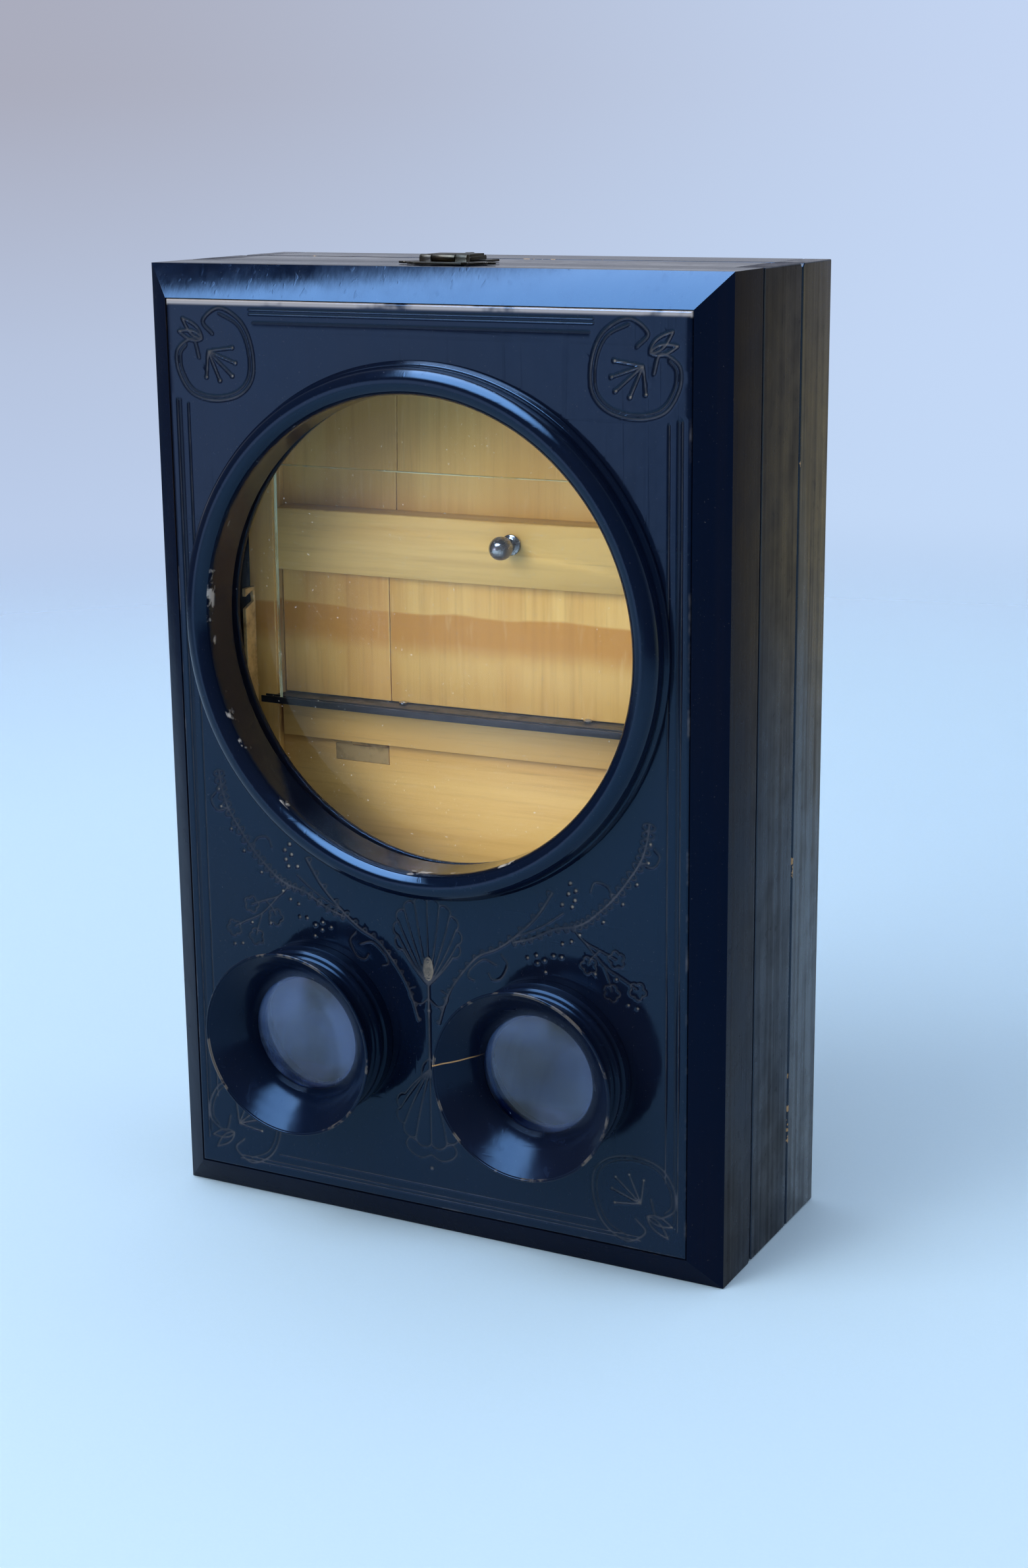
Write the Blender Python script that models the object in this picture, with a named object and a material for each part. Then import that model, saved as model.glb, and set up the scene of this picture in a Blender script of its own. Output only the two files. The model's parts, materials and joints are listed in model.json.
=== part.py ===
"""A folding graphoscope: a slim ebonised box of three hinged trays, standing closed on its end.

The front tray is the lens board, with one large reading lens over a pair of stereo eyepieces. The middle
tray is the frame, along which a carriage slides with a folding easel for the prints. The rear tray is the
base, which holds the prop that tilts the frame. Metres, +Z up, the face looks along -Y, and the origin is
under the middle of the whole object.
"""

import math

import bmesh
import bpy
from mathutils import Matrix, Vector

# The case and its three trays
LENS_BOARD_DEPTH = 0.0317
FRAME_DEPTH = 0.0335
BASE_DEPTH = 0.0270
SEAM = 0.0004
WALL = 0.0100
EASING = 0.0006

# Clearances
SEAT_GAP = 0.0003
RUNNING_GAP = 0.00015
OVERRUN = 0.0010

# The lens board: a moulding with a wide chamfer, round a flat panel
CHAMFER_SIDE = 0.0107
CHAMFER_END = 0.0116
CHAMFER_DEPTH = 0.0078
PANEL_THICKNESS = 0.0140
PANEL_LEDGE = 0.0011

# The flat margins that the ring and the cups leave on the face
RING_TO_SIDE_CHAMFER = 0.0065
RING_TO_TOP_CHAMFER = 0.0180
RING_TO_CUPS = 0.0209
CUPS_TO_BOTTOM_CHAMFER = 0.0271

# The reading lens in its turned ring
LENS_RADIUS = 0.0850
LENS_CURVATURE = 0.4160
LENS_EDGE = 0.0035
LENS_SEAT_DEPTH = 0.0083
LENS_REBATE_WALL = 0.0004
RING_LENS_OVERLAP = 0.0040
RING_BEAD_RADIUS = 0.0047
RING_REACH = 0.0100
RING_STEP_REACH = 0.0028
RING_STEP_WIDTH = 0.0014
SPIGOT_LENS_OVERLAP = 0.0015
SPIGOT_LENS_SETBACK = 0.0009
RETAINER_WIDTH = 0.0030
RETAINER_THICKNESS = 0.0022
# The step outside the bead, as shares of its width and of its reach
RING_STEP_SHARES = (
    (0.000, 1.000),
    (0.500, 0.850),
    (1.000, 0.450),
)

# The stereo eyepieces in their flared cups
EYE_SPACING = 0.0926
CUP_REACH = 0.0210
CUP_RIM_RADIUS = 0.0336
CUP_RIM_EDGE = 0.0008
CUP_THROAT_DEPTH = 0.0070
CUP_LIP = 0.0009
CUP_LENS_OVERLAP = 0.0011
CUP_SPIGOT_WALL = 0.0016
CUP_SPIGOT_LENGTH = 0.0080
EYE_LENS_RADIUS = 0.0221
EYE_LENS_EDGE = 0.0025
EYE_LENS_CURVATURE = 0.1500
EYE_RETAINER_WALL = 0.0026
EYE_RETAINER_LENGTH = 0.0034
# Outside of the cup from its rim to its base, as shares of the rim radius and of the reach
CUP_OUTSIDE_SHARES = (
    (1.000, 0.960),
    (0.900, 0.800),
    (0.856, 0.640),
    (0.860, 0.480),
    (0.915, 0.425),
    (0.932, 0.350),
    (0.905, 0.275),
    (0.872, 0.245),
    (0.940, 0.190),
)
# Inside of the flare from the throat out, as shares of the way to the rim's edge
CUP_FLARE_SHARES = (
    (0.060, 0.160),
    (0.220, 0.380),
    (0.480, 0.630),
    (0.750, 0.830),
)

# Butt hinges, with the pin fixed in the leaf that has two knuckles
HINGE_WIDTH = 0.0300
HINGE_KNUCKLE_RADIUS = 0.0015
HINGE_SINK = 0.0001
HINGE_PIN_RADIUS = 0.0007
HINGE_LEAF_THICKNESS = 0.0008
HINGE_LEAF_OFFSET = 0.0003
HINGE_LEAF_MARGIN = 0.0008
HINGE_SETBACK = 0.0470
HINGE_CLEARANCE = 0.0002

# The frame: floor boards and slide rails
FLOOR_THICKNESS = 0.0048
FLOOR_SETBACK = 0.0002
FLOOR_LEFT_WIDTH = 0.0570
RAIL_WIDTH = 0.0107
RAIL_THICKNESS = 0.0097
RAIL_GROOVE_DEPTH = 0.0050
RAIL_GROOVE_SETBACK = 0.0036

# The carriage board that slides in the rails
CARRIAGE_THICKNESS = 0.0028
CARRIAGE_LENGTH = 0.0480
CARRIAGE_SIDE_PLAY = 0.0006
CARRIAGE_LEAF_LENGTH = 0.0076

# The easel, folded flat on the carriage
EASEL_HINGE_BELOW_LENS = 0.0520
EASEL_SIDE_PLAY = 0.0020
EASEL_FLOOR_PLAY = 0.0006
EASEL_FRONT_REACH = 0.0036
EASEL_FOOT_HEIGHT = 0.0146
EASEL_PANEL_HEIGHT = 0.0448
EASEL_PANEL_THICKNESS = 0.0040
EASEL_PANEL_SETBACK = 0.0040
EASEL_HEAD_HEIGHT = 0.0220
EASEL_HINGE_LENGTH = 0.0050
EASEL_HINGE_SETBACK = 0.0310
EASEL_HINGE_WIDTH = 0.0220

# The black card ledge, its screws and the glass plate that stands in it
LEDGE_SHEET = 0.0008
LEDGE_HEIGHT = 0.0024
LEDGE_SCREW_FROM_END = 0.0500
LEDGE_SCREW_SETBACK = 0.0019
SCREW_HEAD_RADIUS = 0.0016
SCREW_HEAD_HEIGHT = 0.0010
SCREW_SHANK_RADIUS = 0.0008
SCREW_LENGTH = 0.0070
GLASS_SETBACK = 0.0075
GLASS_HEIGHT = 0.0850
GLASS_THICKNESS = 0.0020
GLASS_KNOB_PLAY = 0.0009

# The ball knob on the easel's head rail
KNOB_FLANGE_RADIUS = 0.0036
KNOB_FLANGE_THICKNESS = 0.0011
KNOB_NECK_RADIUS = 0.0016
KNOB_BALL_RADIUS = 0.0041
KNOB_REACH = 0.0116
KNOB_SHANK_RADIUS = 0.0014
KNOB_SHANK_LENGTH = 0.0060
KNOB_RISE = 0.0145
KNOB_OFFSET = 0.0085

# The hook stays that hold the lens board upright
STAY_PIVOT_Z = 0.0900
STAY_RAIL_PLAY = 0.0055
STAY_LENGTH = 0.1280
STAY_WIDTH = 0.0070
STAY_THICKNESS = 0.0016
STAY_INSET = 0.0044
STAY_TIP = 0.0040
STAY_STUD_RADIUS = 0.0015
STAY_STUD_DEPTH = 0.0080
STAY_NOTCH_PLAY = 0.0006
STAY_NOTCH_TILT = 0.3200
STAY_PIN_RADIUS = 0.0018
STAY_HEAD_RADIUS = 0.0032
STAY_HEAD_THICKNESS = 0.0009
STAY_PIN_TAIL = 0.0050

# The prop under the frame, its brackets and the toothed rack in the base
PROP_ARM = 0.1100
PROP_DROP = 0.0045
PROP_FOOT_SETBACK = 0.0210
PROP_WIDTH = 0.0310
PROP_THICKNESS = 0.0040
PROP_TRUNNION_RADIUS = 0.0015
PROP_TRUNNION_LENGTH = 0.0042
BRACKET_THICKNESS = 0.0038
BRACKET_LENGTH = 0.0090
RACK_WIDTH = 0.0380
RACK_HEIGHT = 0.0024
RACK_TOOTH_PITCH = 0.0080
RACK_TOOTH_DEPTH = 0.0014
RACK_TEETH = 5
# How far the rack's middle lies below the folded prop's foot, as a share of the rack's length
RACK_BELOW_FOOT_SHARE = 0.25
BASE_BOARD_THICKNESS = 0.0050

# The clasp over the front seam at the top
CLASP_PLATE_LENGTH = 0.0370
CLASP_PLATE_DEPTH = 0.0130
CLASP_SHEET = 0.0008
CLASP_SEAM_MARGIN = 0.0032
CLASP_AXIS_SETBACK = 0.0050
CLASP_KNUCKLE_RADIUS = 0.0012
CLASP_PIN_RADIUS = 0.0006
CLASP_WIDTH = 0.0180
HASP_TAIL_MARGIN = 0.0025
HASP_TAIL_WIDTH = 0.0100
HASP_THICKNESS = 0.0011
HASP_BOSS_HEIGHT = 0.0009
CATCH_STUD_RADIUS = 0.0016
CATCH_STUD_HEIGHT = 0.0022
CATCH_STUD_SETBACK = 0.0063
CATCH_SLOT_PLAY = 0.0004
CATCH_PLATE_LENGTH = 0.0180
CATCH_PLATE_DEPTH = 0.0100
# Half of the plate's leaf-shaped outline, as shares of its half length and half depth
CLASP_OUTLINE_SHARES = (
    (1.000, 0.000),
    (0.860, 0.240),
    (0.800, 0.200),
    (0.700, 0.620),
    (0.600, 0.780),
    (0.520, 0.640),
    (0.480, 1.000),
)

# Sides of the round pieces
RING_SIDES = 64
CUP_SIDES = 40
SMALL_SIDES = 12
LENS_RINGS = 4
BEAD_STEPS = 8

# Derived: the lens fixes its ring, and the ring and the cups fix the case
RING_LIP_RADIUS = LENS_RADIUS - RING_LENS_OVERLAP
RING_BASE_RADIUS = RING_LIP_RADIUS + RING_BEAD_RADIUS * 2 + RING_STEP_WIDTH
RING_SPIGOT_RADIUS = LENS_RADIUS - SPIGOT_LENS_OVERLAP
RING_SPIGOT_LENGTH = LENS_SEAT_DEPTH - SPIGOT_LENS_SETBACK
RETAINER_INNER_RADIUS = LENS_RADIUS - RETAINER_WIDTH
CUP_THROAT_RADIUS = EYE_LENS_RADIUS - CUP_LENS_OVERLAP
CUP_SPIGOT_RADIUS = EYE_LENS_RADIUS + SEAT_GAP + CUP_SPIGOT_WALL
EYE_HEIGHT = CHAMFER_END + CUPS_TO_BOTTOM_CHAMFER + CUP_RIM_RADIUS
LENS_HEIGHT = EYE_HEIGHT + CUP_RIM_RADIUS + RING_TO_CUPS + RING_BASE_RADIUS
HEIGHT = LENS_HEIGHT + RING_BASE_RADIUS + RING_TO_TOP_CHAMFER + CHAMFER_END
WIDTH = (RING_BASE_RADIUS + RING_TO_SIDE_CHAMFER + CHAMFER_SIDE) * 2
HALF_WIDTH = WIDTH / 2
INSIDE_X = HALF_WIDTH - WALL

# Derived: depths behind the face, and what stands in them
FRONT_SEAM = LENS_BOARD_DEPTH
REAR_SEAM = LENS_BOARD_DEPTH + FRAME_DEPTH
CASE_DEPTH = REAR_SEAM + BASE_DEPTH
FACE_Y = (CUP_REACH - CASE_DEPTH) / 2
HINGE_INSET = HINGE_KNUCKLE_RADIUS + HINGE_SINK
HINGE_LEAF_LENGTH = WALL - HINGE_INSET - HINGE_LEAF_MARGIN
HINGE_X = HALF_WIDTH - HINGE_SETBACK
FLOOR_BACK = REAR_SEAM - SEAM / 2 - FLOOR_SETBACK
FLOOR_FRONT = FLOOR_BACK - FLOOR_THICKNESS
FLOOR_JOINT_X = FLOOR_LEFT_WIDTH - INSIDE_X
RAIL_BACK = FLOOR_FRONT - SEAT_GAP
RAIL_FRONT = RAIL_BACK - RAIL_THICKNESS
RAIL_INNER_X = INSIDE_X - SEAT_GAP - RAIL_WIDTH
GROOVE_FRONT = RAIL_FRONT + RAIL_GROOVE_SETBACK
GROOVE_BACK = GROOVE_FRONT + CARRIAGE_THICKNESS + SEAT_GAP * 2
CARRIAGE_FRONT = GROOVE_FRONT + SEAT_GAP
EASEL_HINGE_Z = LENS_HEIGHT - EASEL_HINGE_BELOW_LENS
EASEL_HALF_WIDTH = RAIL_INNER_X - EASEL_SIDE_PLAY
EASEL_HINGE_X = EASEL_HALF_WIDTH - EASEL_HINGE_SETBACK
EASEL_AXIS_DEPTH = CARRIAGE_FRONT - HINGE_LEAF_OFFSET
EASEL_FRONT = EASEL_AXIS_DEPTH - EASEL_FRONT_REACH
EASEL_BACK = FLOOR_FRONT - EASEL_FLOOR_PLAY
EASEL_FOOT_Z = EASEL_HINGE_Z + HINGE_LEAF_OFFSET
EASEL_FOOT_TOP = EASEL_FOOT_Z + EASEL_FOOT_HEIGHT
LEDGE_Z = EASEL_FOOT_TOP + SEAT_GAP
LEDGE_REACH = KNOB_REACH + GLASS_KNOB_PLAY + GLASS_THICKNESS + SEAT_GAP + LEDGE_SHEET
LEDGE_SCREW_X = EASEL_HALF_WIDTH - LEDGE_SCREW_FROM_END
GLASS_HALF_WIDTH = EASEL_HALF_WIDTH - GLASS_SETBACK
EASEL_PANEL_Z = LEDGE_Z + LEDGE_SHEET + SEAT_GAP
EASEL_HEAD_Z = EASEL_PANEL_Z + EASEL_PANEL_HEIGHT + SEAT_GAP
OPENING_X = HALF_WIDTH - CHAMFER_SIDE + SEAT_GAP
OPENING_Z = CHAMFER_END - SEAT_GAP
HOLLOW_X = OPENING_X - PANEL_LEDGE
HOLLOW_Z = OPENING_Z + PANEL_LEDGE
STAY_X = INSIDE_X - STAY_INSET - STAY_THICKNESS / 2
STAY_AXIS_DEPTH = RAIL_FRONT - STAY_RAIL_PLAY - STAY_WIDTH / 2
TILT_AXIS_Z = HEIGHT - HINGE_INSET
PROP_AXIS_Z = TILT_AXIS_Z - PROP_ARM
PROP_AXIS_DEPTH = REAR_SEAM + PROP_DROP
PROP_LENGTH = PROP_ARM - PROP_FOOT_SETBACK
CLASP_Z = HEIGHT + SEAT_GAP
CLASP_AXIS_Z = CLASP_Z + CLASP_SHEET + CLASP_KNUCKLE_RADIUS
CLASP_FRONT = FRONT_SEAM - CLASP_SEAM_MARGIN - CLASP_PLATE_DEPTH
CLASP_AXIS_DEPTH = CLASP_FRONT + CLASP_AXIS_SETBACK
CATCH_STUD_DEPTH = FRONT_SEAM + CATCH_STUD_SETBACK
HASP_END = CATCH_STUD_DEPTH + HASP_TAIL_MARGIN


def spot(x, depth, z):
    """A world point at this depth behind the face."""
    return Vector((x, FACE_Y + depth, z))


def finish(name, colour, roughness, metallic=0.0, transmission=0.0):
    """A Principled material."""
    material = bpy.data.materials.new(name)
    material.use_nodes = True
    shader = material.node_tree.nodes["Principled BSDF"]
    shader.inputs["Base Color"].default_value = (*colour, 1.0)
    shader.inputs["Roughness"].default_value = roughness
    shader.inputs["Metallic"].default_value = metallic
    shader.inputs["Transmission Weight"].default_value = transmission
    material.diffuse_color = (*colour, 1.0)
    return material


def make_materials():
    """One material for each finish."""
    return {
        "lacquer": finish("black_lacquer", (0.012, 0.014, 0.020), 0.14),
        "blond": finish("blond_wood", (0.62, 0.42, 0.19), 0.45),
        "glass": finish("clear_glass", (0.92, 0.96, 0.95), 0.02, 0.0, 1.0),
        "bronze": finish("dark_bronze", (0.12, 0.10, 0.07), 0.42, 1.0),
        "brass": finish("hinge_brass", (0.60, 0.45, 0.20), 0.35, 1.0),
        "steel": finish("bright_steel", (0.55, 0.55, 0.56), 0.22, 1.0),
        "black_metal": finish("black_metal", (0.03, 0.03, 0.035), 0.40, 1.0),
    }


def make_pivot(name, at, parent=None):
    """An empty on a joint's axis, which carries the pieces of one moving body."""
    pivot = bpy.data.objects.new(name, None)
    bpy.context.scene.collection.objects.link(pivot)
    pivot.parent = parent
    pivot["at"] = list(at)
    pivot.location = at - (Vector(parent["at"]) if parent else Vector((0, 0, 0)))
    return pivot


def make_piece(name, bm, at, parent, material=None):
    """An object from a mesh that is centred on at, carried by parent. Without a material it is a cutter."""
    bmesh.ops.recalc_face_normals(bm, faces=bm.faces)
    mesh = bpy.data.meshes.new(name)
    bm.to_mesh(mesh)
    bm.free()
    piece = bpy.data.objects.new(name, mesh)
    bpy.context.scene.collection.objects.link(piece)
    piece.parent = parent
    piece.location = at - Vector(parent["at"])
    if material:
        mesh.materials.append(material)
    else:
        piece.hide_render = True
        piece.display_type = "WIRE"
    return piece


def box_mesh(size):
    """A box centred on its own origin."""
    bm = bmesh.new()
    bmesh.ops.create_cube(bm, size=1, matrix=Matrix.Diagonal((*size, 1)))
    return bm


def ease(bm, size, corners, width):
    """Bevels box edges. A corner is two signed axes, such as ((0, 1), (1, -1)) where +X meets -Y."""
    near = EASING / 100

    def on(edge, corner):
        return all(
            abs(v.co[axis] - sign * size[axis] / 2) < near
            for v in edge.verts
            for axis, sign in corner
        )

    picked = [e for e in bm.edges if any(on(e, corner) for corner in corners)]
    bmesh.ops.bevel(bm, geom=picked, offset=width, segments=1, profile=0.5, affect="EDGES")


def box_piece(name, low, high, parent, material=None, corners=(), chamfers=()):
    """A box between two corners given as (x, depth, z), with eased and chamfered edges."""
    low, high = Vector(low), Vector(high)
    size = high - low
    bm = box_mesh(size)
    if chamfers:
        ease(bm, size, chamfers, HINGE_INSET)
    if corners:
        ease(bm, size, corners, EASING)
    return make_piece(name, bm, spot(*((low + high) / 2)), parent, material)


def turned_mesh(profile, sides, axis="Y"):
    """A closed profile of (radius, height along the axis) points, carried round the axis."""
    bm = bmesh.new()
    rings = []
    for radius, along in profile:
        if radius == 0:
            rings.append([bm.verts.new((0, along, 0))])
            continue
        turns = (2 * math.pi * k / sides for k in range(sides))
        rings.append([bm.verts.new((radius * math.cos(t), along, radius * math.sin(t))) for t in turns])
    for ring, after in zip(rings, rings[1:] + rings[:1]):
        for k in range(sides):
            corners = []
            for vert in (ring[k % len(ring)], ring[(k + 1) % len(ring)],
                         after[(k + 1) % len(after)], after[k % len(after)]):
                if vert not in corners:
                    corners.append(vert)
            if len(corners) > 2:
                bm.faces.new(corners)
    turns = {"Y": Matrix.Identity(3), "Z": Matrix.Rotation(math.pi / 2, 3, "X"),
             "X": Matrix.Rotation(-math.pi / 2, 3, "Z")}
    bmesh.ops.transform(bm, matrix=turns[axis].to_4x4(), verts=bm.verts)
    return bm


def rod_mesh(radius, low, high, sides, axis="Y"):
    """A plain round rod from low to high along the axis."""
    return turned_mesh([(0, low), (radius, low), (radius, high), (0, high)], sides, axis)


def smooth(piece):
    """Rounds the shading of a turned piece and keeps its sharp corners."""
    piece.data.shade_smooth()
    piece.data.set_sharp_from_angle(angle=math.radians(35))
    return piece


def cut(piece, cutter):
    """Takes the cutter's shape out of the piece."""
    modifier = piece.modifiers.new("cut " + cutter.name, "BOOLEAN")
    modifier.operation = "DIFFERENCE"
    modifier.object = cutter
    modifier.solver = "EXACT"


def fuse(piece, other):
    """Joins another shape to the piece as one solid."""
    modifier = piece.modifiers.new("fuse " + other.name, "BOOLEAN")
    modifier.operation = "UNION"
    modifier.object = other
    modifier.solver = "EXACT"


def cut_box(piece, name, low, high, parent):
    """Cuts a box out of the piece."""
    cut(piece, box_piece(name, low, high, parent))


def sag(radius, curvature):
    """How far a ball of this curvature falls away at this radius."""
    return curvature - math.sqrt(curvature ** 2 - radius ** 2)


def lens_profile(radius, edge, curvature, front):
    """Half of a biconvex lens's section, with its rim starting at the depth called front."""
    rim = sag(radius, curvature)
    radii = [radius * k / LENS_RINGS for k in range(LENS_RINGS + 1)]
    faces = [(r, rim - sag(r, curvature)) for r in radii]
    near = [(r, front - fall) for r, fall in faces]
    return near + [(r, front + edge + fall) for r, fall in reversed(faces)]


def moulding_mesh():
    """The lens board's outer block: a box whose face is drawn in all round by the wide chamfer."""
    back = LENS_BOARD_DEPTH - SEAM / 2
    outlines = (
        (HALF_WIDTH - CHAMFER_SIDE, HEIGHT / 2 - CHAMFER_END, 0),
        (HALF_WIDTH, HEIGHT / 2, CHAMFER_DEPTH),
        (HALF_WIDTH, HEIGHT / 2, back - EASING),
        (HALF_WIDTH - EASING, HEIGHT / 2, back),
    )
    bm = bmesh.new()
    rings = []
    for x, z, depth in outlines:
        ring = [(-x, -z), (x, -z), (x, z), (-x, z)]
        rings.append([bm.verts.new((px, depth, pz)) for px, pz in ring])
    for ring, after in zip(rings, rings[1:]):
        for k in range(4):
            bm.faces.new((ring[k], ring[(k + 1) % 4], after[(k + 1) % 4], after[k]))
    bm.faces.new(rings[0])
    bm.faces.new(list(reversed(rings[-1])))
    return bm


def make_lens_board(body, materials):
    """The moulding with its opening, and the flat panel that fills the opening from the front."""
    at = spot(0, 0, HEIGHT / 2)
    moulding = make_piece("lens_board_moulding", moulding_mesh(), at, body, materials["lacquer"])
    cut_box(moulding, "panel_recess", (-OPENING_X, -OVERRUN, OPENING_Z),
            (OPENING_X, PANEL_THICKNESS + SEAT_GAP, HEIGHT - OPENING_Z), body)
    cut_box(moulding, "board_hollow", (-HOLLOW_X, 0, HOLLOW_Z),
            (HOLLOW_X, LENS_BOARD_DEPTH + OVERRUN, HEIGHT - HOLLOW_Z), body)
    relief = rod_mesh(HINGE_INSET + SEAM / 2, -WIDTH, WIDTH, 4, "X")
    cut(moulding, make_piece("front_edge_relief", relief, spot(0, FRONT_SEAM, 0), body))

    panel_x = OPENING_X - SEAT_GAP
    panel = box_piece("lens_panel", (-panel_x, 0, CHAMFER_END),
                      (panel_x, PANEL_THICKNESS, HEIGHT - CHAMFER_END), body, materials["lacquer"])
    hole = RING_SPIGOT_RADIUS + SEAT_GAP
    rebate = LENS_RADIUS + LENS_REBATE_WALL
    bore = rod_mesh(hole, -OVERRUN, PANEL_THICKNESS + OVERRUN, RING_SIDES)
    cut(panel, make_piece("lens_bore", bore, spot(0, 0, LENS_HEIGHT), body))
    recess = rod_mesh(rebate, LENS_SEAT_DEPTH, PANEL_THICKNESS + OVERRUN, RING_SIDES)
    cut(panel, make_piece("lens_rebate", recess, spot(0, 0, LENS_HEIGHT), body))
    for side, name in ((-1, "left"), (1, "right")):
        bore = rod_mesh(CUP_SPIGOT_RADIUS + SEAT_GAP, -OVERRUN, PANEL_THICKNESS + OVERRUN, CUP_SIDES)
        cut(panel, make_piece("cup_bore_" + name, bore, spot(side * EYE_SPACING / 2, 0, EYE_HEIGHT), body))
    return moulding


def ring_profile():
    """Section of the turned ring: lip, tall half-round bead, small step, back face and spigot."""
    centre = RING_LIP_RADIUS + RING_BEAD_RADIUS
    shoulder = -(RING_REACH - RING_BEAD_RADIUS)
    points = [(RING_LIP_RADIUS, RING_SPIGOT_LENGTH)]
    for k in range(BEAD_STEPS + 1):
        turn = math.pi * (1 - k / BEAD_STEPS)
        across, out = RING_BEAD_RADIUS * math.cos(turn), RING_BEAD_RADIUS * math.sin(turn)
        points.append((centre + across, shoulder - out))
    outer = centre + RING_BEAD_RADIUS
    width = RING_BASE_RADIUS - outer
    points += [(outer + r * width, -d * RING_STEP_REACH) for r, d in RING_STEP_SHARES]
    points += [
        (RING_BASE_RADIUS, -SEAT_GAP),
        (RING_SPIGOT_RADIUS, -SEAT_GAP),
        (RING_SPIGOT_RADIUS, RING_SPIGOT_LENGTH),
    ]
    return points


def make_reading_lens(body, materials):
    """The ring, the large biconvex lens behind it and the ring that holds the lens in."""
    at = spot(0, 0, LENS_HEIGHT)
    smooth(make_piece("lens_ring", turned_mesh(ring_profile(), RING_SIDES), at, body, materials["lacquer"]))
    front = LENS_SEAT_DEPTH + SEAT_GAP * 2
    profile = lens_profile(LENS_RADIUS, LENS_EDGE, LENS_CURVATURE, front)
    smooth(make_piece("reading_lens", turned_mesh(profile, RING_SIDES), at, body, materials["glass"]))
    back = front + LENS_EDGE + sag(LENS_RADIUS, LENS_CURVATURE) - sag(RETAINER_INNER_RADIUS, LENS_CURVATURE)
    low, high = back + SEAT_GAP, back + SEAT_GAP + RETAINER_THICKNESS
    section = [(RETAINER_INNER_RADIUS, low), (LENS_RADIUS, low),
               (LENS_RADIUS, high), (RETAINER_INNER_RADIUS, high)]
    retainer = turned_mesh(section, RING_SIDES)
    smooth(make_piece("lens_retainer", retainer, at, body, materials["lacquer"]))


def cup_profile():
    """Section of a flared cup: rim, waisted outside with its bead, spigot, lens seat, throat and flare."""
    reach = -CUP_REACH
    bore = EYE_LENS_RADIUS + SEAT_GAP
    seat = -CUP_THROAT_DEPTH + CUP_LIP
    inner_rim = CUP_RIM_RADIUS - CUP_RIM_EDGE
    points = [(inner_rim, reach), (CUP_RIM_RADIUS - CUP_RIM_EDGE / 4, reach)]
    points += [(r * CUP_RIM_RADIUS, d * reach) for r, d in CUP_OUTSIDE_SHARES]
    points += [
        (CUP_OUTSIDE_SHARES[-1][0] * CUP_RIM_RADIUS, -SEAT_GAP),
        (CUP_SPIGOT_RADIUS, -SEAT_GAP),
        (CUP_SPIGOT_RADIUS, CUP_SPIGOT_LENGTH),
        (bore, CUP_SPIGOT_LENGTH),
        (bore, seat),
        (CUP_THROAT_RADIUS, seat),
        (CUP_THROAT_RADIUS, -CUP_THROAT_DEPTH),
    ]
    for r, d in CUP_FLARE_SHARES:
        points.append((CUP_THROAT_RADIUS + r * (inner_rim - CUP_THROAT_RADIUS),
                       -CUP_THROAT_DEPTH + d * (reach + CUP_THROAT_DEPTH)))
    return points


def make_eyepieces(body, materials):
    """Two flared cups, each with its lens and the ring that holds it."""
    front = -CUP_THROAT_DEPTH + CUP_LIP + SEAT_GAP
    for side, name in ((-1, "left"), (1, "right")):
        at = spot(side * EYE_SPACING / 2, 0, EYE_HEIGHT)
        cup = turned_mesh(cup_profile(), CUP_SIDES)
        smooth(make_piece("eyecup_" + name, cup, at, body, materials["lacquer"]))
        profile = lens_profile(EYE_LENS_RADIUS, EYE_LENS_EDGE, EYE_LENS_CURVATURE, front)
        lens = turned_mesh(profile, CUP_SIDES)
        smooth(make_piece("eyepiece_lens_" + name, lens, at, body, materials["glass"]))
        low = front + EYE_LENS_EDGE + sag(EYE_LENS_RADIUS, EYE_LENS_CURVATURE) \
            - sag(EYE_LENS_RADIUS - EYE_RETAINER_WALL, EYE_LENS_CURVATURE) + SEAT_GAP
        inner = EYE_LENS_RADIUS - EYE_RETAINER_WALL
        section = [(inner, low), (EYE_LENS_RADIUS, low),
                   (EYE_LENS_RADIUS, low + EYE_RETAINER_LENGTH), (inner, low + EYE_RETAINER_LENGTH)]
        retainer = turned_mesh(section, CUP_SIDES)
        smooth(make_piece("eyepiece_retainer_" + name, retainer, at, body, materials["lacquer"]))


def make_tray(prefix, front, back, body, material, front_relief, rear_relief):
    """Four walls of a tray. A relief is the end, bottom or top, whose outer edge clears a hinge there."""
    x, inner = HALF_WIDTH, INSIDE_X
    ends = {"bottom": (0, WALL), "top": (HEIGHT - WALL, HEIGHT)}
    signs = {"bottom": -1, "top": 1}
    walls = {}
    for side, name in ((-1, "left"), (1, "right")):
        low_x, high_x = sorted((side * x, side * inner))
        eased = [((0, side), (1, -1)), ((0, side), (1, 1))]
        chamfers = []
        if front_relief:
            chamfers.append(((1, -1), (2, signs[front_relief])))
        if rear_relief:
            chamfers.append(((1, 1), (2, signs[rear_relief])))
        walls[name] = box_piece(f"{prefix}_wall_{name}", (low_x, front, 0), (high_x, back, HEIGHT), body,
                                material, eased, chamfers)
    for name, (low_z, high_z) in ends.items():
        chamfers = []
        if front_relief == name:
            chamfers.append(((1, -1), (2, signs[name])))
        if rear_relief == name:
            chamfers.append(((1, 1), (2, signs[name])))
        reach = inner - SEAT_GAP
        walls[name] = box_piece(f"{prefix}_wall_{name}", (-reach, front, low_z), (reach, back, high_z), body,
                                material, (), chamfers)
    return walls


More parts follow.
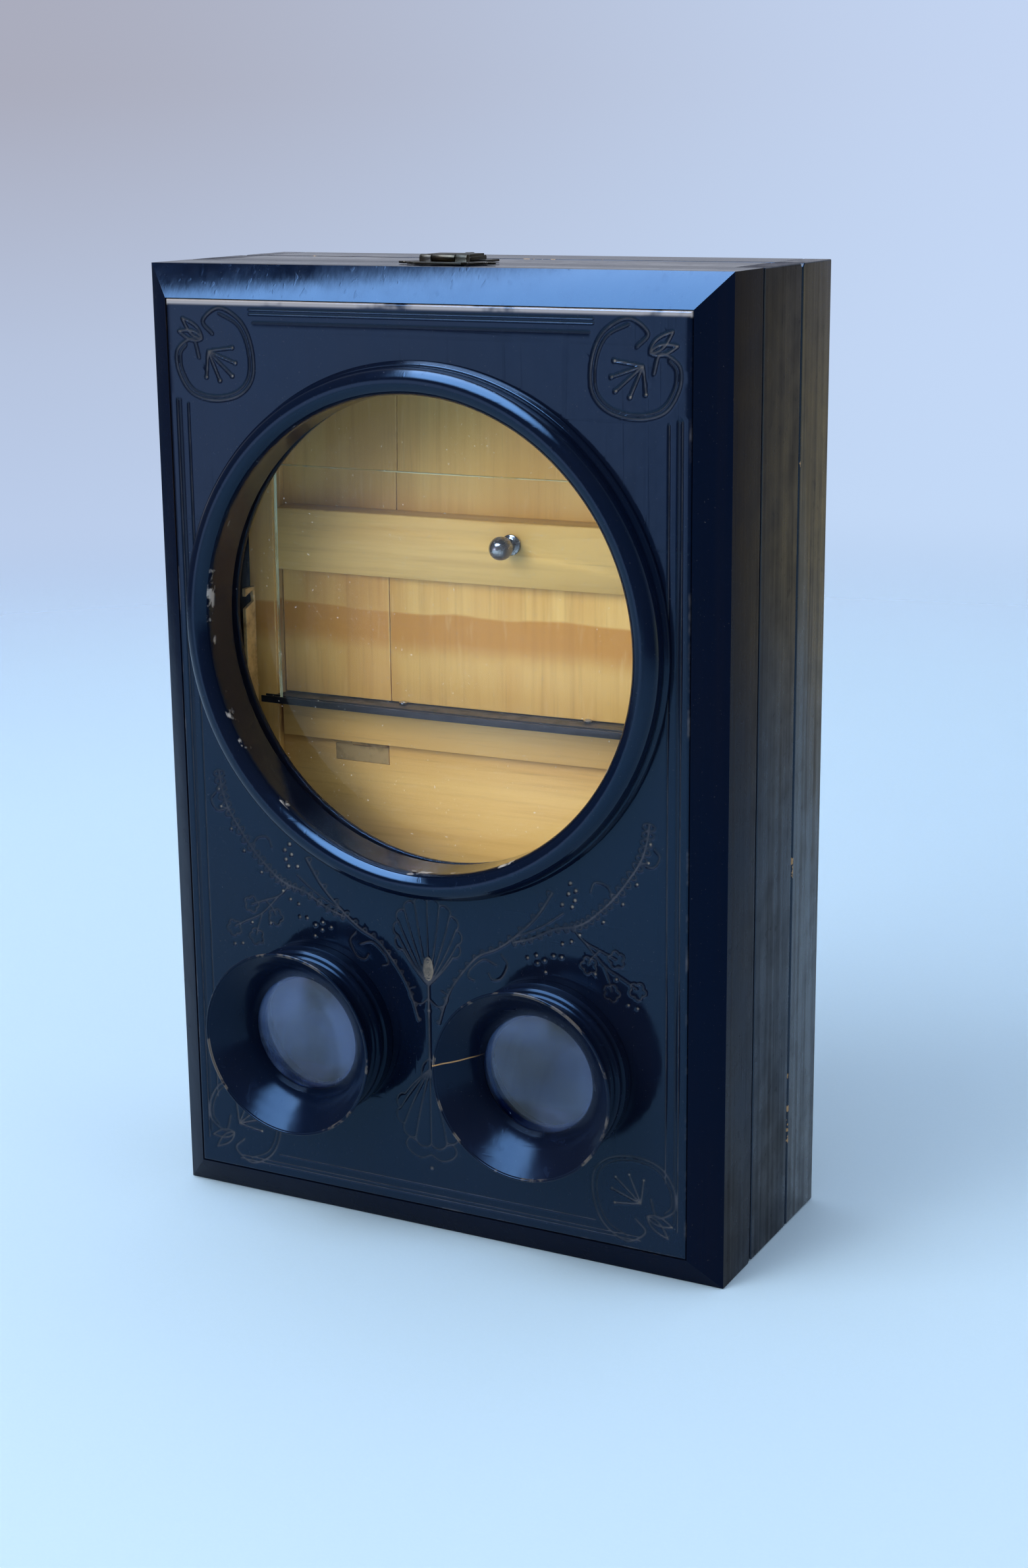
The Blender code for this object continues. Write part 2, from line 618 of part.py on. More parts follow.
def make_frame(body, materials):
    """The middle tray: walls, two floor boards and the grooved slide rails."""
    walls = make_tray("frame", FRONT_SEAM + SEAM / 2, REAR_SEAM - SEAM / 2, body, materials["lacquer"],
                      "bottom", "top")
    reach = INSIDE_X - SEAT_GAP
    low_z, high_z = WALL + SEAT_GAP, HEIGHT - WALL - SEAT_GAP
    joint = SEAT_GAP / 2
    box_piece("floor_board_left", (-reach, FLOOR_FRONT, low_z), (FLOOR_JOINT_X - joint, FLOOR_BACK, high_z),
              body, materials["blond"])
    box_piece("floor_board_right", (FLOOR_JOINT_X + joint, FLOOR_FRONT, low_z), (reach, FLOOR_BACK, high_z),
              body, materials["blond"])
    for side, name in ((-1, "left"), (1, "right")):
        low_x, high_x = sorted((side * reach, side * RAIL_INNER_X))
        rail = box_piece("slide_rail_" + name, (low_x, RAIL_FRONT, low_z), (high_x, RAIL_BACK, high_z),
                         body, materials["blond"])
        low_x, high_x = sorted((side * (RAIL_INNER_X - OVERRUN), side * (RAIL_INNER_X + RAIL_GROOVE_DEPTH)))
        cut_box(rail, "rail_groove_" + name, (low_x, GROOVE_FRONT, low_z - OVERRUN),
                (high_x, GROOVE_BACK, high_z + OVERRUN), body)
    return walls


def make_base(body, materials):
    """The rear tray: walls and the board that closes it."""
    walls = make_tray("base", REAR_SEAM + SEAM / 2, CASE_DEPTH, body, materials["lacquer"], "top", None)
    reach = INSIDE_X - SEAT_GAP
    box_piece("base_board", (-reach, CASE_DEPTH - BASE_BOARD_THICKNESS, WALL + SEAT_GAP),
              (reach, CASE_DEPTH, HEIGHT - WALL - SEAT_GAP), body, materials["lacquer"])
    return walls


def along_box(x_low, x_high, depth, z, along, side, near, far, low, high):
    """Two corners of a box beside a hinge axis, from near to far along one way and low to high across it."""
    starts = [depth + along[0] * near + side[0] * low, z + along[1] * near + side[1] * low]
    stops = [depth + along[0] * far + side[0] * high, z + along[1] * far + side[1] * high]
    lows = [min(a, b) for a, b in zip(starts, stops)]
    highs = [max(a, b) for a, b in zip(starts, stops)]
    return (x_low, *lows), (x_high, *highs)


def make_leaf(name, axis, leaf, knuckles, body, material, bored, width, length):
    """One leaf of a butt hinge: a plate, a tab for each knuckle and either the pin or a bore for it."""
    x, depth, z = axis
    along, side = leaf
    start = HINGE_KNUCKLE_RADIUS + HINGE_CLEARANCE * 2
    edges = HINGE_LEAF_OFFSET, HINGE_LEAF_OFFSET + HINGE_LEAF_THICKNESS
    low, high = along_box(x - width / 2, x + width / 2, depth, z, along, side, start, length, *edges)
    piece = box_piece(name, low, high, body, material)
    for number, (first, last) in enumerate(knuckles):
        ends = x + first * width / 2 + RUNNING_GAP, x + last * width / 2 - RUNNING_GAP
        low, high = along_box(*ends, depth, z, along, side, 0, start + HINGE_LEAF_THICKNESS, *edges)
        fuse(piece, box_piece(f"{name}_tab_{number}", low, high, body))
        half = (ends[1] - ends[0]) / 2
        barrel = rod_mesh(HINGE_KNUCKLE_RADIUS, -half, half, SMALL_SIDES, "X")
        middle = spot((ends[0] + ends[1]) / 2, depth, z)
        fuse(piece, make_piece(f"{name}_barrel_{number}", barrel, middle, body))
    if bored:
        bore = rod_mesh(HINGE_PIN_RADIUS + RUNNING_GAP, -width, width, SMALL_SIDES, "X")
        cut(piece, make_piece(name + "_bore", bore, spot(x, depth, z), body))
    else:
        reach = width / 2 - HINGE_CLEARANCE
        pin = rod_mesh(HINGE_PIN_RADIUS, -reach, reach, SMALL_SIDES, "X")
        fuse(piece, make_piece(name + "_pin", pin, spot(x, depth, z), body))
    return piece


def let_in(host, name, axis, leaf, width, length, body):
    """Cuts the pocket for a leaf and the room for the barrel out of the wood that carries them."""
    x, depth, z = axis
    along, side = leaf
    reach = width / 2 + HINGE_CLEARANCE
    low, high = along_box(x - reach, x + reach, depth, z, along, side,
                          -HINGE_CLEARANCE, length + HINGE_CLEARANCE,
                          -OVERRUN, HINGE_LEAF_OFFSET + HINGE_LEAF_THICKNESS + HINGE_CLEARANCE)
    cut_box(host, name + "_pocket", low, high, body)
    room = rod_mesh(HINGE_KNUCKLE_RADIUS + HINGE_CLEARANCE, -reach, reach, SMALL_SIDES, "X")
    cut(host, make_piece(name + "_room", room, spot(x, depth, z), body))


def make_hinge(prefix, axis, first, second, width, material):
    """A butt hinge. first carries the pin and two knuckles, second the one between them."""
    pair_shares = ((-1, -1 / 3), (1 / 3, 1))
    one_share = ((-1 / 3, 1 / 3),)
    for leaf, knuckles, bored in ((first, pair_shares, False), (second, one_share, True)):
        name, ways, length, body, host = leaf
        full = f"{prefix}_{name}"
        make_leaf(full, axis, ways, knuckles, body, material, bored, width, length)
        let_in(host, full, axis, ways, width, length, body)


UP, DOWN, FORWARD, BACKWARD = (0, 1), (0, -1), (-1, 0), (1, 0)


def make_case_hinges(bodies, walls, moulding, materials):
    """Two hinges at the foot of the lens board and two at the head of the frame."""
    for side, name in ((-1, "left"), (1, "right")):
        x = side * HINGE_X
        make_hinge("front_hinge_" + name, (x, FRONT_SEAM, HINGE_INSET),
                   ("frame_leaf", (UP, BACKWARD), HINGE_LEAF_LENGTH, bodies["frame"],
                    walls["frame"]["bottom"]),
                   ("lens_leaf", (UP, FORWARD), HINGE_LEAF_LENGTH, bodies["lens_board"], moulding),
                   HINGE_WIDTH, materials["brass"])
        make_hinge("tilt_hinge_" + name, (x, REAR_SEAM, TILT_AXIS_Z),
                   ("base_leaf", (DOWN, BACKWARD), HINGE_LEAF_LENGTH, bodies["base"], walls["base"]["top"]),
                   ("frame_leaf", (DOWN, FORWARD), HINGE_LEAF_LENGTH, bodies["frame"],
                    walls["frame"]["top"]),
                   HINGE_WIDTH, materials["brass"])


def make_carriage_and_easel(bodies, materials):
    """The sliding board, and the easel of two rails and two thin boards hinged to its upper edge."""
    carriage, easel = bodies["carriage"], bodies["easel"]
    blond = materials["blond"]
    tongue = RAIL_INNER_X + RAIL_GROOVE_DEPTH - CARRIAGE_SIDE_PLAY
    top = EASEL_HINGE_Z - HINGE_LEAF_OFFSET
    board = box_piece("carriage_board", (-tongue, CARRIAGE_FRONT, top - CARRIAGE_LENGTH),
                      (tongue, CARRIAGE_FRONT + CARRIAGE_THICKNESS, top), carriage, blond)
    x = EASEL_HALF_WIDTH
    foot = box_piece("easel_foot_rail", (-x, EASEL_FRONT, EASEL_FOOT_Z), (x, EASEL_BACK, EASEL_FOOT_TOP),
                     easel, blond)
    head = box_piece("easel_head_rail", (-x, EASEL_FRONT, EASEL_HEAD_Z),
                     (x, EASEL_BACK, EASEL_HEAD_Z + EASEL_HEAD_HEIGHT), easel, blond)
    front = EASEL_FRONT + EASEL_PANEL_SETBACK
    back = front + EASEL_PANEL_THICKNESS
    joint = SEAT_GAP / 2
    for name, low_x, high_x in (("left", -x, FLOOR_JOINT_X - joint), ("right", FLOOR_JOINT_X + joint, x)):
        box_piece("easel_board_" + name, (low_x, front, EASEL_PANEL_Z),
                  (high_x, back, EASEL_PANEL_Z + EASEL_PANEL_HEIGHT), easel, blond)
    for side, name in ((-1, "left"), (1, "right")):
        axis = (side * EASEL_HINGE_X, EASEL_AXIS_DEPTH, EASEL_HINGE_Z)
        make_hinge("easel_hinge_" + name, axis,
                   ("carriage_leaf", (DOWN, BACKWARD), CARRIAGE_LEAF_LENGTH, carriage, board),
                   ("easel_leaf", (BACKWARD, UP), EASEL_HINGE_LENGTH, easel, foot),
                   EASEL_HINGE_WIDTH, materials["brass"])
    make_ledge(easel, foot, materials)
    make_knob(easel, head, materials)


def make_ledge(easel, foot, materials):
    """The black metal card ledge with its channel, two screws, and the glass plate in the channel."""
    front = EASEL_FRONT - LEDGE_REACH
    web_back = EASEL_FRONT + EASEL_PANEL_SETBACK + EASEL_PANEL_THICKNESS
    x = EASEL_HALF_WIDTH
    ledge = box_piece("card_ledge", (-x, front, LEDGE_Z), (x, web_back, LEDGE_Z + LEDGE_SHEET), easel,
                      materials["black_metal"])
    channel = LEDGE_SHEET + GLASS_THICKNESS + SEAT_GAP * 2
    lip_top = LEDGE_Z + LEDGE_HEIGHT
    for number, start in enumerate((front, front + channel)):
        lip = box_piece(f"ledge_lip_{number}", (-x, start, LEDGE_Z), (x, start + LEDGE_SHEET, lip_top), easel)
        fuse(ledge, lip)
    seat = LEDGE_Z + LEDGE_SHEET + SEAT_GAP
    glass_front = front + LEDGE_SHEET + SEAT_GAP
    box_piece("glass_plate", (-GLASS_HALF_WIDTH, glass_front, seat),
              (GLASS_HALF_WIDTH, glass_front + GLASS_THICKNESS, seat + GLASS_HEIGHT), easel,
              materials["glass"])
    depth = EASEL_FRONT + LEDGE_SCREW_SETBACK
    for side, name in ((-1, "left"), (1, "right")):
        at = spot(side * LEDGE_SCREW_X, depth, seat)
        section = [(0, -SCREW_LENGTH), (SCREW_SHANK_RADIUS, -SCREW_LENGTH), (SCREW_SHANK_RADIUS, 0),
                   (SCREW_HEAD_RADIUS, 0), (SCREW_HEAD_RADIUS, SCREW_HEAD_HEIGHT / 2),
                   (SCREW_HEAD_RADIUS / 2, SCREW_HEAD_HEIGHT), (0, SCREW_HEAD_HEIGHT)]
        smooth(make_piece("ledge_screw_" + name, turned_mesh(section, SMALL_SIDES, "Z"), at, easel,
                          materials["steel"]))
        reach = SCREW_LENGTH + SEAT_GAP
        room = rod_mesh(SCREW_SHANK_RADIUS + RUNNING_GAP, -reach, reach, SMALL_SIDES, "Z")
        hole = make_piece("screw_hole_" + name, room, at, easel)
        cut(ledge, hole)
        cut(foot, hole)


def make_knob(easel, head, materials):
    """The turned ball knob on the head rail: shank, flange, neck and ball."""
    z = EASEL_HEAD_Z + KNOB_RISE
    ball = KNOB_REACH - KNOB_BALL_RADIUS
    start = math.asin(KNOB_NECK_RADIUS / KNOB_BALL_RADIUS)
    section = [(0, KNOB_SHANK_LENGTH), (KNOB_SHANK_RADIUS, KNOB_SHANK_LENGTH),
               (KNOB_SHANK_RADIUS, -SEAT_GAP), (KNOB_FLANGE_RADIUS, -SEAT_GAP),
               (KNOB_FLANGE_RADIUS, -SEAT_GAP - KNOB_FLANGE_THICKNESS / 2),
               (KNOB_FLANGE_RADIUS / 2, -SEAT_GAP - KNOB_FLANGE_THICKNESS),
               (KNOB_NECK_RADIUS, -SEAT_GAP - KNOB_FLANGE_THICKNESS * 2)]
    for k in range(BEAD_STEPS):
        turn = start + (math.pi - start) * k / BEAD_STEPS
        section.append((KNOB_BALL_RADIUS * math.sin(turn), -ball + KNOB_BALL_RADIUS * math.cos(turn)))
    section.append((0, -KNOB_REACH))
    at = spot(KNOB_OFFSET, EASEL_FRONT, z)
    smooth(make_piece("easel_knob", turned_mesh(section, SMALL_SIDES * 2), at, easel, materials["steel"]))
    room = rod_mesh(KNOB_SHANK_RADIUS + RUNNING_GAP, -OVERRUN, KNOB_SHANK_LENGTH + SEAT_GAP, SMALL_SIDES)
    cut(head, make_piece("knob_hole", room, at, easel))


def stay_stud_z():
    """Height of the lens board's stud with the box closed, so that it meets the stay's notch when open."""
    drop = STAY_PIVOT_Z - HINGE_INSET + STAY_STUD_DEPTH
    return math.sqrt(STAY_LENGTH ** 2 - drop ** 2) - (STAY_AXIS_DEPTH - FRONT_SEAM) + HINGE_INSET


def make_stays(bodies, walls, moulding, materials):
    """Two flat hook stays, their shouldered pivots, and the studs that they hook over."""
    for side, name in ((-1, "left"), (1, "right")):
        make_stay(side, name, bodies["stay_" + name], materials)
        make_stay_pivot(side, name, bodies["frame"], walls["frame"][name], materials)
        make_stay_stud(side, name, bodies["lens_board"], moulding, materials)


def make_stay(side, name, body, materials):
    """A flat stay with a round eye on its pivot, and a tilted notch that opens at its front edge."""
    half, thin = STAY_WIDTH / 2, STAY_THICKNESS / 2
    x = side * STAY_X
    stay = box_piece("stay_" + name, (x - thin, STAY_AXIS_DEPTH - half, STAY_PIVOT_Z),
                     (x + thin, STAY_AXIS_DEPTH + half, STAY_PIVOT_Z + STAY_LENGTH + STAY_TIP),
                     body, materials["brass"])
    at = spot(x, STAY_AXIS_DEPTH, STAY_PIVOT_Z)
    eye = rod_mesh(half, -thin, thin, SMALL_SIDES * 2, "X")
    fuse(stay, make_piece("stay_eye_" + name, eye, at, body))
    hole = rod_mesh(STAY_PIN_RADIUS + RUNNING_GAP, -STAY_THICKNESS, STAY_THICKNESS, SMALL_SIDES, "X")
    cut(stay, make_piece("stay_hole_" + name, hole, at, body))
    room = STAY_STUD_RADIUS + STAY_NOTCH_PLAY
    notch = box_mesh((STAY_THICKNESS * 2, STAY_WIDTH, room * 2))
    bmesh.ops.translate(notch, verts=notch.verts, vec=(0, room - half, 0))
    bmesh.ops.rotate(notch, verts=notch.verts, matrix=Matrix.Rotation(STAY_NOTCH_TILT, 3, "X"))
    centre = spot(x, STAY_AXIS_DEPTH, STAY_PIVOT_Z + STAY_LENGTH)
    cut(stay, make_piece("stay_notch_" + name, notch, centre, body))


def make_stay_pivot(side, name, frame, wall, materials):
    """A pivot in the frame's wall: head, neck through the stay's eye, collar against the wall and tail."""
    neck = STAY_HEAD_THICKNESS + STAY_THICKNESS + SEAT_GAP * 2
    collar = STAY_HEAD_THICKNESS + STAY_THICKNESS + STAY_INSET
    section = [(0, 0), (STAY_HEAD_RADIUS, 0), (STAY_HEAD_RADIUS, STAY_HEAD_THICKNESS),
               (STAY_PIN_RADIUS, STAY_HEAD_THICKNESS), (STAY_PIN_RADIUS, neck), (STAY_HEAD_RADIUS, neck),
               (STAY_HEAD_RADIUS, collar), (STAY_PIN_RADIUS, collar),
               (STAY_PIN_RADIUS, collar + STAY_PIN_TAIL), (0, collar + STAY_PIN_TAIL)]
    pin = turned_mesh([(radius, side * along) for radius, along in section], SMALL_SIDES, "X")
    start = side * (STAY_X - STAY_THICKNESS / 2 - SEAT_GAP - STAY_HEAD_THICKNESS)
    smooth(make_piece("stay_pivot_" + name, pin, spot(start, STAY_AXIS_DEPTH, STAY_PIVOT_Z), frame,
                      materials["brass"]))
    reach = STAY_PIN_TAIL + SEAT_GAP
    room = rod_mesh(STAY_PIN_RADIUS + RUNNING_GAP, -reach, reach, SMALL_SIDES, "X")
    at = spot(side * INSIDE_X, STAY_AXIS_DEPTH, STAY_PIVOT_Z)
    cut(wall, make_piece("stay_pivot_hole_" + name, room, at, frame))


def make_stay_stud(side, name, body, moulding, materials):
    """A plain stud driven into the lens board's side, reaching in past the stay's plane."""
    at = spot(0, FRONT_SEAM - STAY_STUD_DEPTH, stay_stud_z())
    far = HOLLOW_X + STAY_PIN_TAIL
    low, high = sorted((side * (STAY_X - STAY_THICKNESS), side * far))
    stud = rod_mesh(STAY_STUD_RADIUS, low, high, SMALL_SIDES, "X")
    smooth(make_piece("stay_stud_" + name, stud, at, body, materials["brass"]))
    low, high = sorted((side * (HOLLOW_X - STAY_PIN_TAIL), side * (far + SEAT_GAP)))
    room = rod_mesh(STAY_STUD_RADIUS + RUNNING_GAP, low, high, SMALL_SIDES, "X")
    cut(moulding, make_piece("stay_stud_hole_" + name, room, at, body))


def make_prop(bodies, materials):
    """The prop, folded up into the base, with its two brackets under the frame's floor."""
    body, frame = bodies["prop"], bodies["frame"]
    half_x, half_y = PROP_WIDTH / 2, PROP_THICKNESS / 2
    strut = box_piece("prop_strut", (-half_x, PROP_AXIS_DEPTH - half_y, PROP_AXIS_Z),
                      (half_x, PROP_AXIS_DEPTH + half_y, PROP_AXIS_Z + PROP_LENGTH), body,
                      materials["lacquer"])
    for name, z in (("root", PROP_AXIS_Z), ("foot", PROP_AXIS_Z + PROP_LENGTH)):
        rounded = rod_mesh(half_y, -half_x, half_x, SMALL_SIDES, "X")
        fuse(strut, make_piece("prop_" + name, rounded, spot(0, PROP_AXIS_DEPTH, z), body))
    reach = half_x + PROP_TRUNNION_LENGTH
    trunnion = rod_mesh(PROP_TRUNNION_RADIUS, -reach, reach, SMALL_SIDES, "X")
    fuse(strut, make_piece("prop_trunnion", trunnion, spot(0, PROP_AXIS_DEPTH, PROP_AXIS_Z), body))
    for side, name in ((-1, "left"), (1, "right")):
        start = side * (half_x + SEAT_GAP)
        low_x, high_x = sorted((start, start + side * BRACKET_THICKNESS))
        bracket = box_piece("prop_bracket_" + name,
                            (low_x, FLOOR_BACK + SEAT_GAP, PROP_AXIS_Z - BRACKET_LENGTH / 2),
                            (high_x, PROP_AXIS_DEPTH + half_y, PROP_AXIS_Z + BRACKET_LENGTH / 2),
                            frame, materials["brass"])
        bore = rod_mesh(PROP_TRUNNION_RADIUS + RUNNING_GAP, -WALL, WALL, SMALL_SIDES, "X")
        at = spot(start, PROP_AXIS_DEPTH, PROP_AXIS_Z)
        cut(bracket, make_piece("bracket_bore_" + name, bore, at, frame))


def make_rack(body, materials):
    """The toothed rack on the base board that the prop's foot stands in."""
    floor = CASE_DEPTH - BASE_BOARD_THICKNESS - SEAT_GAP
    length = RACK_TOOTH_PITCH * RACK_TEETH
    middle = PROP_AXIS_Z + PROP_LENGTH - length * RACK_BELOW_FOOT_SHARE
    bm = bmesh.new()
    outline = [(0, 0)]
    for k in range(RACK_TEETH):
        start = k * RACK_TOOTH_PITCH
        outline += [(start, RACK_HEIGHT), (start + RACK_TOOTH_PITCH, RACK_HEIGHT - RACK_TOOTH_DEPTH)]
    outline.append((length, 0))
    verts = [bm.verts.new((-RACK_WIDTH / 2, -rise, along - length / 2)) for along, rise in outline]
    face = bm.faces.new(verts)
    swept = bmesh.ops.extrude_face_region(bm, geom=[face])["geom"]
    moved = [v for v in swept if isinstance(v, bmesh.types.BMVert)]
    bmesh.ops.translate(bm, verts=moved, vec=(RACK_WIDTH, 0, 0))
    make_piece("prop_rack", bm, spot(0, floor, middle), body, materials["lacquer"])


def outline_mesh(points, thickness):
    """A flat outline in X and Y, thickened upwards."""
    bm = bmesh.new()
    face = bm.faces.new([bm.verts.new((x, y, 0)) for x, y in points])
    swept = bmesh.ops.extrude_face_region(bm, geom=[face])["geom"]
    moved = [v for v in swept if isinstance(v, bmesh.types.BMVert)]
    bmesh.ops.translate(bm, verts=moved, vec=(0, 0, thickness))
    return bm


def clasp_outline(half_length, half_depth):
    """The leaf-ended outline of the clasp plate, all four quarters."""
    quarter = [(x * half_length, y * half_depth) for x, y in CLASP_OUTLINE_SHARES]
    right = quarter + [(-x, y) for x, y in reversed(quarter)]
    return right + [(x, -y) for x, y in reversed(right) if y > 0]


def make_clasp(body, material):
    """The clasp's leaf-shaped plate, with two knuckles on lugs and the pin between them."""
    middle = CLASP_FRONT + CLASP_PLATE_DEPTH / 2
    sheet = outline_mesh(clasp_outline(CLASP_PLATE_LENGTH / 2, CLASP_PLATE_DEPTH / 2), CLASP_SHEET)
    plate = make_piece("clasp_plate", sheet, spot(0, middle, CLASP_Z), body, material)
    half, split = CLASP_WIDTH / 2, CLASP_WIDTH / 4
    radius = CLASP_KNUCKLE_RADIUS
    for side, name in ((-1, "left"), (1, "right")):
        barrel = rod_mesh(radius, -(half - split) / 2, (half - split) / 2, SMALL_SIDES, "X")
        centre = spot(side * (half + split) / 2, CLASP_AXIS_DEPTH, CLASP_AXIS_Z)
        fuse(plate, make_piece("clasp_barrel_" + name, barrel, centre, body))
        low_x, high_x = sorted((side * split, side * half))
        fuse(plate, box_piece("clasp_lug_" + name,
                              (low_x, CLASP_AXIS_DEPTH - radius, CLASP_Z + CLASP_SHEET / 2),
                              (high_x, CLASP_AXIS_DEPTH + radius, CLASP_AXIS_Z), body))
    reach = half - HINGE_CLEARANCE
    pin = rod_mesh(CLASP_PIN_RADIUS, -reach, reach, SMALL_SIDES, "X")
    fuse(plate, make_piece("clasp_pin", pin, spot(0, CLASP_AXIS_DEPTH, CLASP_AXIS_Z), body))


def make_hasp(body, material):
    """The forked hasp: its knuckle, a raised shoulder, and a tail slotted for the catch's stud."""
    low = CLASP_Z + CLASP_SHEET + SEAT_GAP
    high = low + HASP_THICKNESS
    tail = HASP_TAIL_WIDTH / 2
    half, knuckle = CLASP_WIDTH / 2, CLASP_WIDTH / 4 - RUNNING_GAP
    shoulder = CLASP_AXIS_DEPTH + CLASP_KNUCKLE_RADIUS + SEAT_GAP
    shoulder_end = FRONT_SEAM + CATCH_STUD_RADIUS
    hasp = box_piece("hasp", (-knuckle, CLASP_AXIS_DEPTH, low), (knuckle, HASP_END, high), body, material)
    fuse(hasp, box_piece("hasp_tail", (-tail, shoulder, low), (tail, HASP_END, high), body))
    fuse(hasp, box_piece("hasp_shoulder", (-half, shoulder, low), (half, shoulder_end, high), body))
    barrel = rod_mesh(CLASP_KNUCKLE_RADIUS, -knuckle, knuckle, SMALL_SIDES, "X")
    axis = spot(0, CLASP_AXIS_DEPTH, CLASP_AXIS_Z)
    fuse(hasp, make_piece("hasp_barrel", barrel, axis, body))
    bore = rod_mesh(CLASP_PIN_RADIUS + RUNNING_GAP, -half, half, SMALL_SIDES, "X")
    cut(hasp, make_piece("hasp_bore", bore, axis, body))
    fuse(hasp, box_piece("hasp_boss", (-half + EASING, shoulder + EASING, low + HASP_THICKNESS / 2),
                         (half - EASING, shoulder_end - EASING, high + HASP_BOSS_HEIGHT), body))
    slot = CATCH_STUD_RADIUS + CATCH_SLOT_PLAY
    cut_box(hasp, "hasp_fork", (-slot, CATCH_STUD_DEPTH - slot, low - OVERRUN),
            (slot, HASP_END + OVERRUN, high + OVERRUN), body)


def make_catch(body, material):
    """The catch plate on the frame, with the stud that the hasp's fork straddles."""
    front = FRONT_SEAM + SEAM / 2 + EASING
    catch = box_piece("catch_plate", (-CATCH_PLATE_LENGTH / 2, front, CLASP_Z),
                      (CATCH_PLATE_LENGTH / 2, front + CATCH_PLATE_DEPTH, CLASP_Z + CLASP_SHEET), body,
                      material)
    stud = rod_mesh(CATCH_STUD_RADIUS, CLASP_SHEET / 2, CLASP_SHEET + CATCH_STUD_HEIGHT, SMALL_SIDES, "Z")
    fuse(catch, make_piece("catch_stud", stud, spot(0, CATCH_STUD_DEPTH, CLASP_Z), body))


def make_bodies():
    """The empties on the joints' axes, each carried by the body that it moves on."""
    bodies = {"base": make_pivot("base_body", spot(0, CASE_DEPTH, 0))}
    frame = make_pivot("frame_pivot", spot(0, REAR_SEAM, TILT_AXIS_Z), bodies["base"])
    board = make_pivot("lens_board_pivot", spot(0, FRONT_SEAM, HINGE_INSET), frame)
    bodies["frame"] = frame
    bodies["lens_board"] = board
    bodies["hasp"] = make_pivot("hasp_pivot", spot(0, CLASP_AXIS_DEPTH, CLASP_AXIS_Z), board)
    bodies["prop"] = make_pivot("prop_pivot", spot(0, PROP_AXIS_DEPTH, PROP_AXIS_Z), frame)
    bodies["carriage"] = make_pivot("carriage_slide", spot(0, CARRIAGE_FRONT, EASEL_HINGE_Z), frame)
    bodies["easel"] = make_pivot("easel_pivot", spot(0, EASEL_AXIS_DEPTH, EASEL_HINGE_Z), bodies["carriage"])
    for name in ("left", "right"):
        at = spot(0, STAY_AXIS_DEPTH, STAY_PIVOT_Z)
        bodies["stay_" + name] = make_pivot(f"stay_{name}_pivot", at, frame)
    return bodies


def main():
    for old in list(bpy.data.objects):
        bpy.data.objects.remove(old, do_unlink=True)
    materials = make_materials()
    bodies = make_bodies()
    walls = {"frame": make_frame(bodies["frame"], materials), "base": make_base(bodies["base"], materials)}
    moulding = make_lens_board(bodies["lens_board"], materials)
    make_reading_lens(bodies["lens_board"], materials)
    make_eyepieces(bodies["lens_board"], materials)
    make_case_hinges(bodies, walls, moulding, materials)
    make_carriage_and_easel(bodies, materials)
    make_stays(bodies, walls, moulding, materials)
    make_prop(bodies, materials)
    make_rack(bodies["base"], materials)
    make_clasp(bodies["lens_board"], materials["bronze"])
    make_hasp(bodies["hasp"], materials["bronze"])
    make_catch(bodies["frame"], materials["bronze"])


if __name__ == "__main__":
    main()
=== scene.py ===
import json
import math

import bmesh
import bpy
import numpy as np
from bpy.props import FloatProperty, FloatVectorProperty, IntProperty, PointerProperty
from mathutils import Matrix, Vector

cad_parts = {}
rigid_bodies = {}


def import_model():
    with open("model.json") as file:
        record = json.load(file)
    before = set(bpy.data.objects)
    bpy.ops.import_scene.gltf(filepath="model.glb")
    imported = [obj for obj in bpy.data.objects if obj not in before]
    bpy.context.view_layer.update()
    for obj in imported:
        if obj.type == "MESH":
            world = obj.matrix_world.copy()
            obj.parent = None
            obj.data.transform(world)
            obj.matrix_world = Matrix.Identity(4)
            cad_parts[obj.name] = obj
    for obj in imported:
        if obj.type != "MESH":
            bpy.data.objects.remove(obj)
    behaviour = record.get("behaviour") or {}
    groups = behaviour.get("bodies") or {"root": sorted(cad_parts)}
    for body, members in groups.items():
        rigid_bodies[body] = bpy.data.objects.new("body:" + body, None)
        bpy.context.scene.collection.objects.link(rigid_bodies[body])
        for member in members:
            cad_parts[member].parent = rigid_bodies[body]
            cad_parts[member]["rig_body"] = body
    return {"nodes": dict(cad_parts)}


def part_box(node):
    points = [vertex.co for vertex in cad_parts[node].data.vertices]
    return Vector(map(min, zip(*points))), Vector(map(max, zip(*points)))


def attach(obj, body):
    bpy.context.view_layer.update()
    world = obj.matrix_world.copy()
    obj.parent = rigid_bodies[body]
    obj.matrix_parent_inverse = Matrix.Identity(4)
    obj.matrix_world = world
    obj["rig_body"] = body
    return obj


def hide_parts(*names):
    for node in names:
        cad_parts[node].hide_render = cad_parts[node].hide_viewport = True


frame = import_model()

bl_info = {
    "name": "Folding graphoscope",
    "version": (1, 0, 0),
    "blender": (4, 5, 0),
    "location": "View3D > Sidebar > Graphoscope",
    "description": "Dresses the folding graphoscope: engraved lacquer, turned rings, glass, wood and fittings",
    "category": "Object",
}

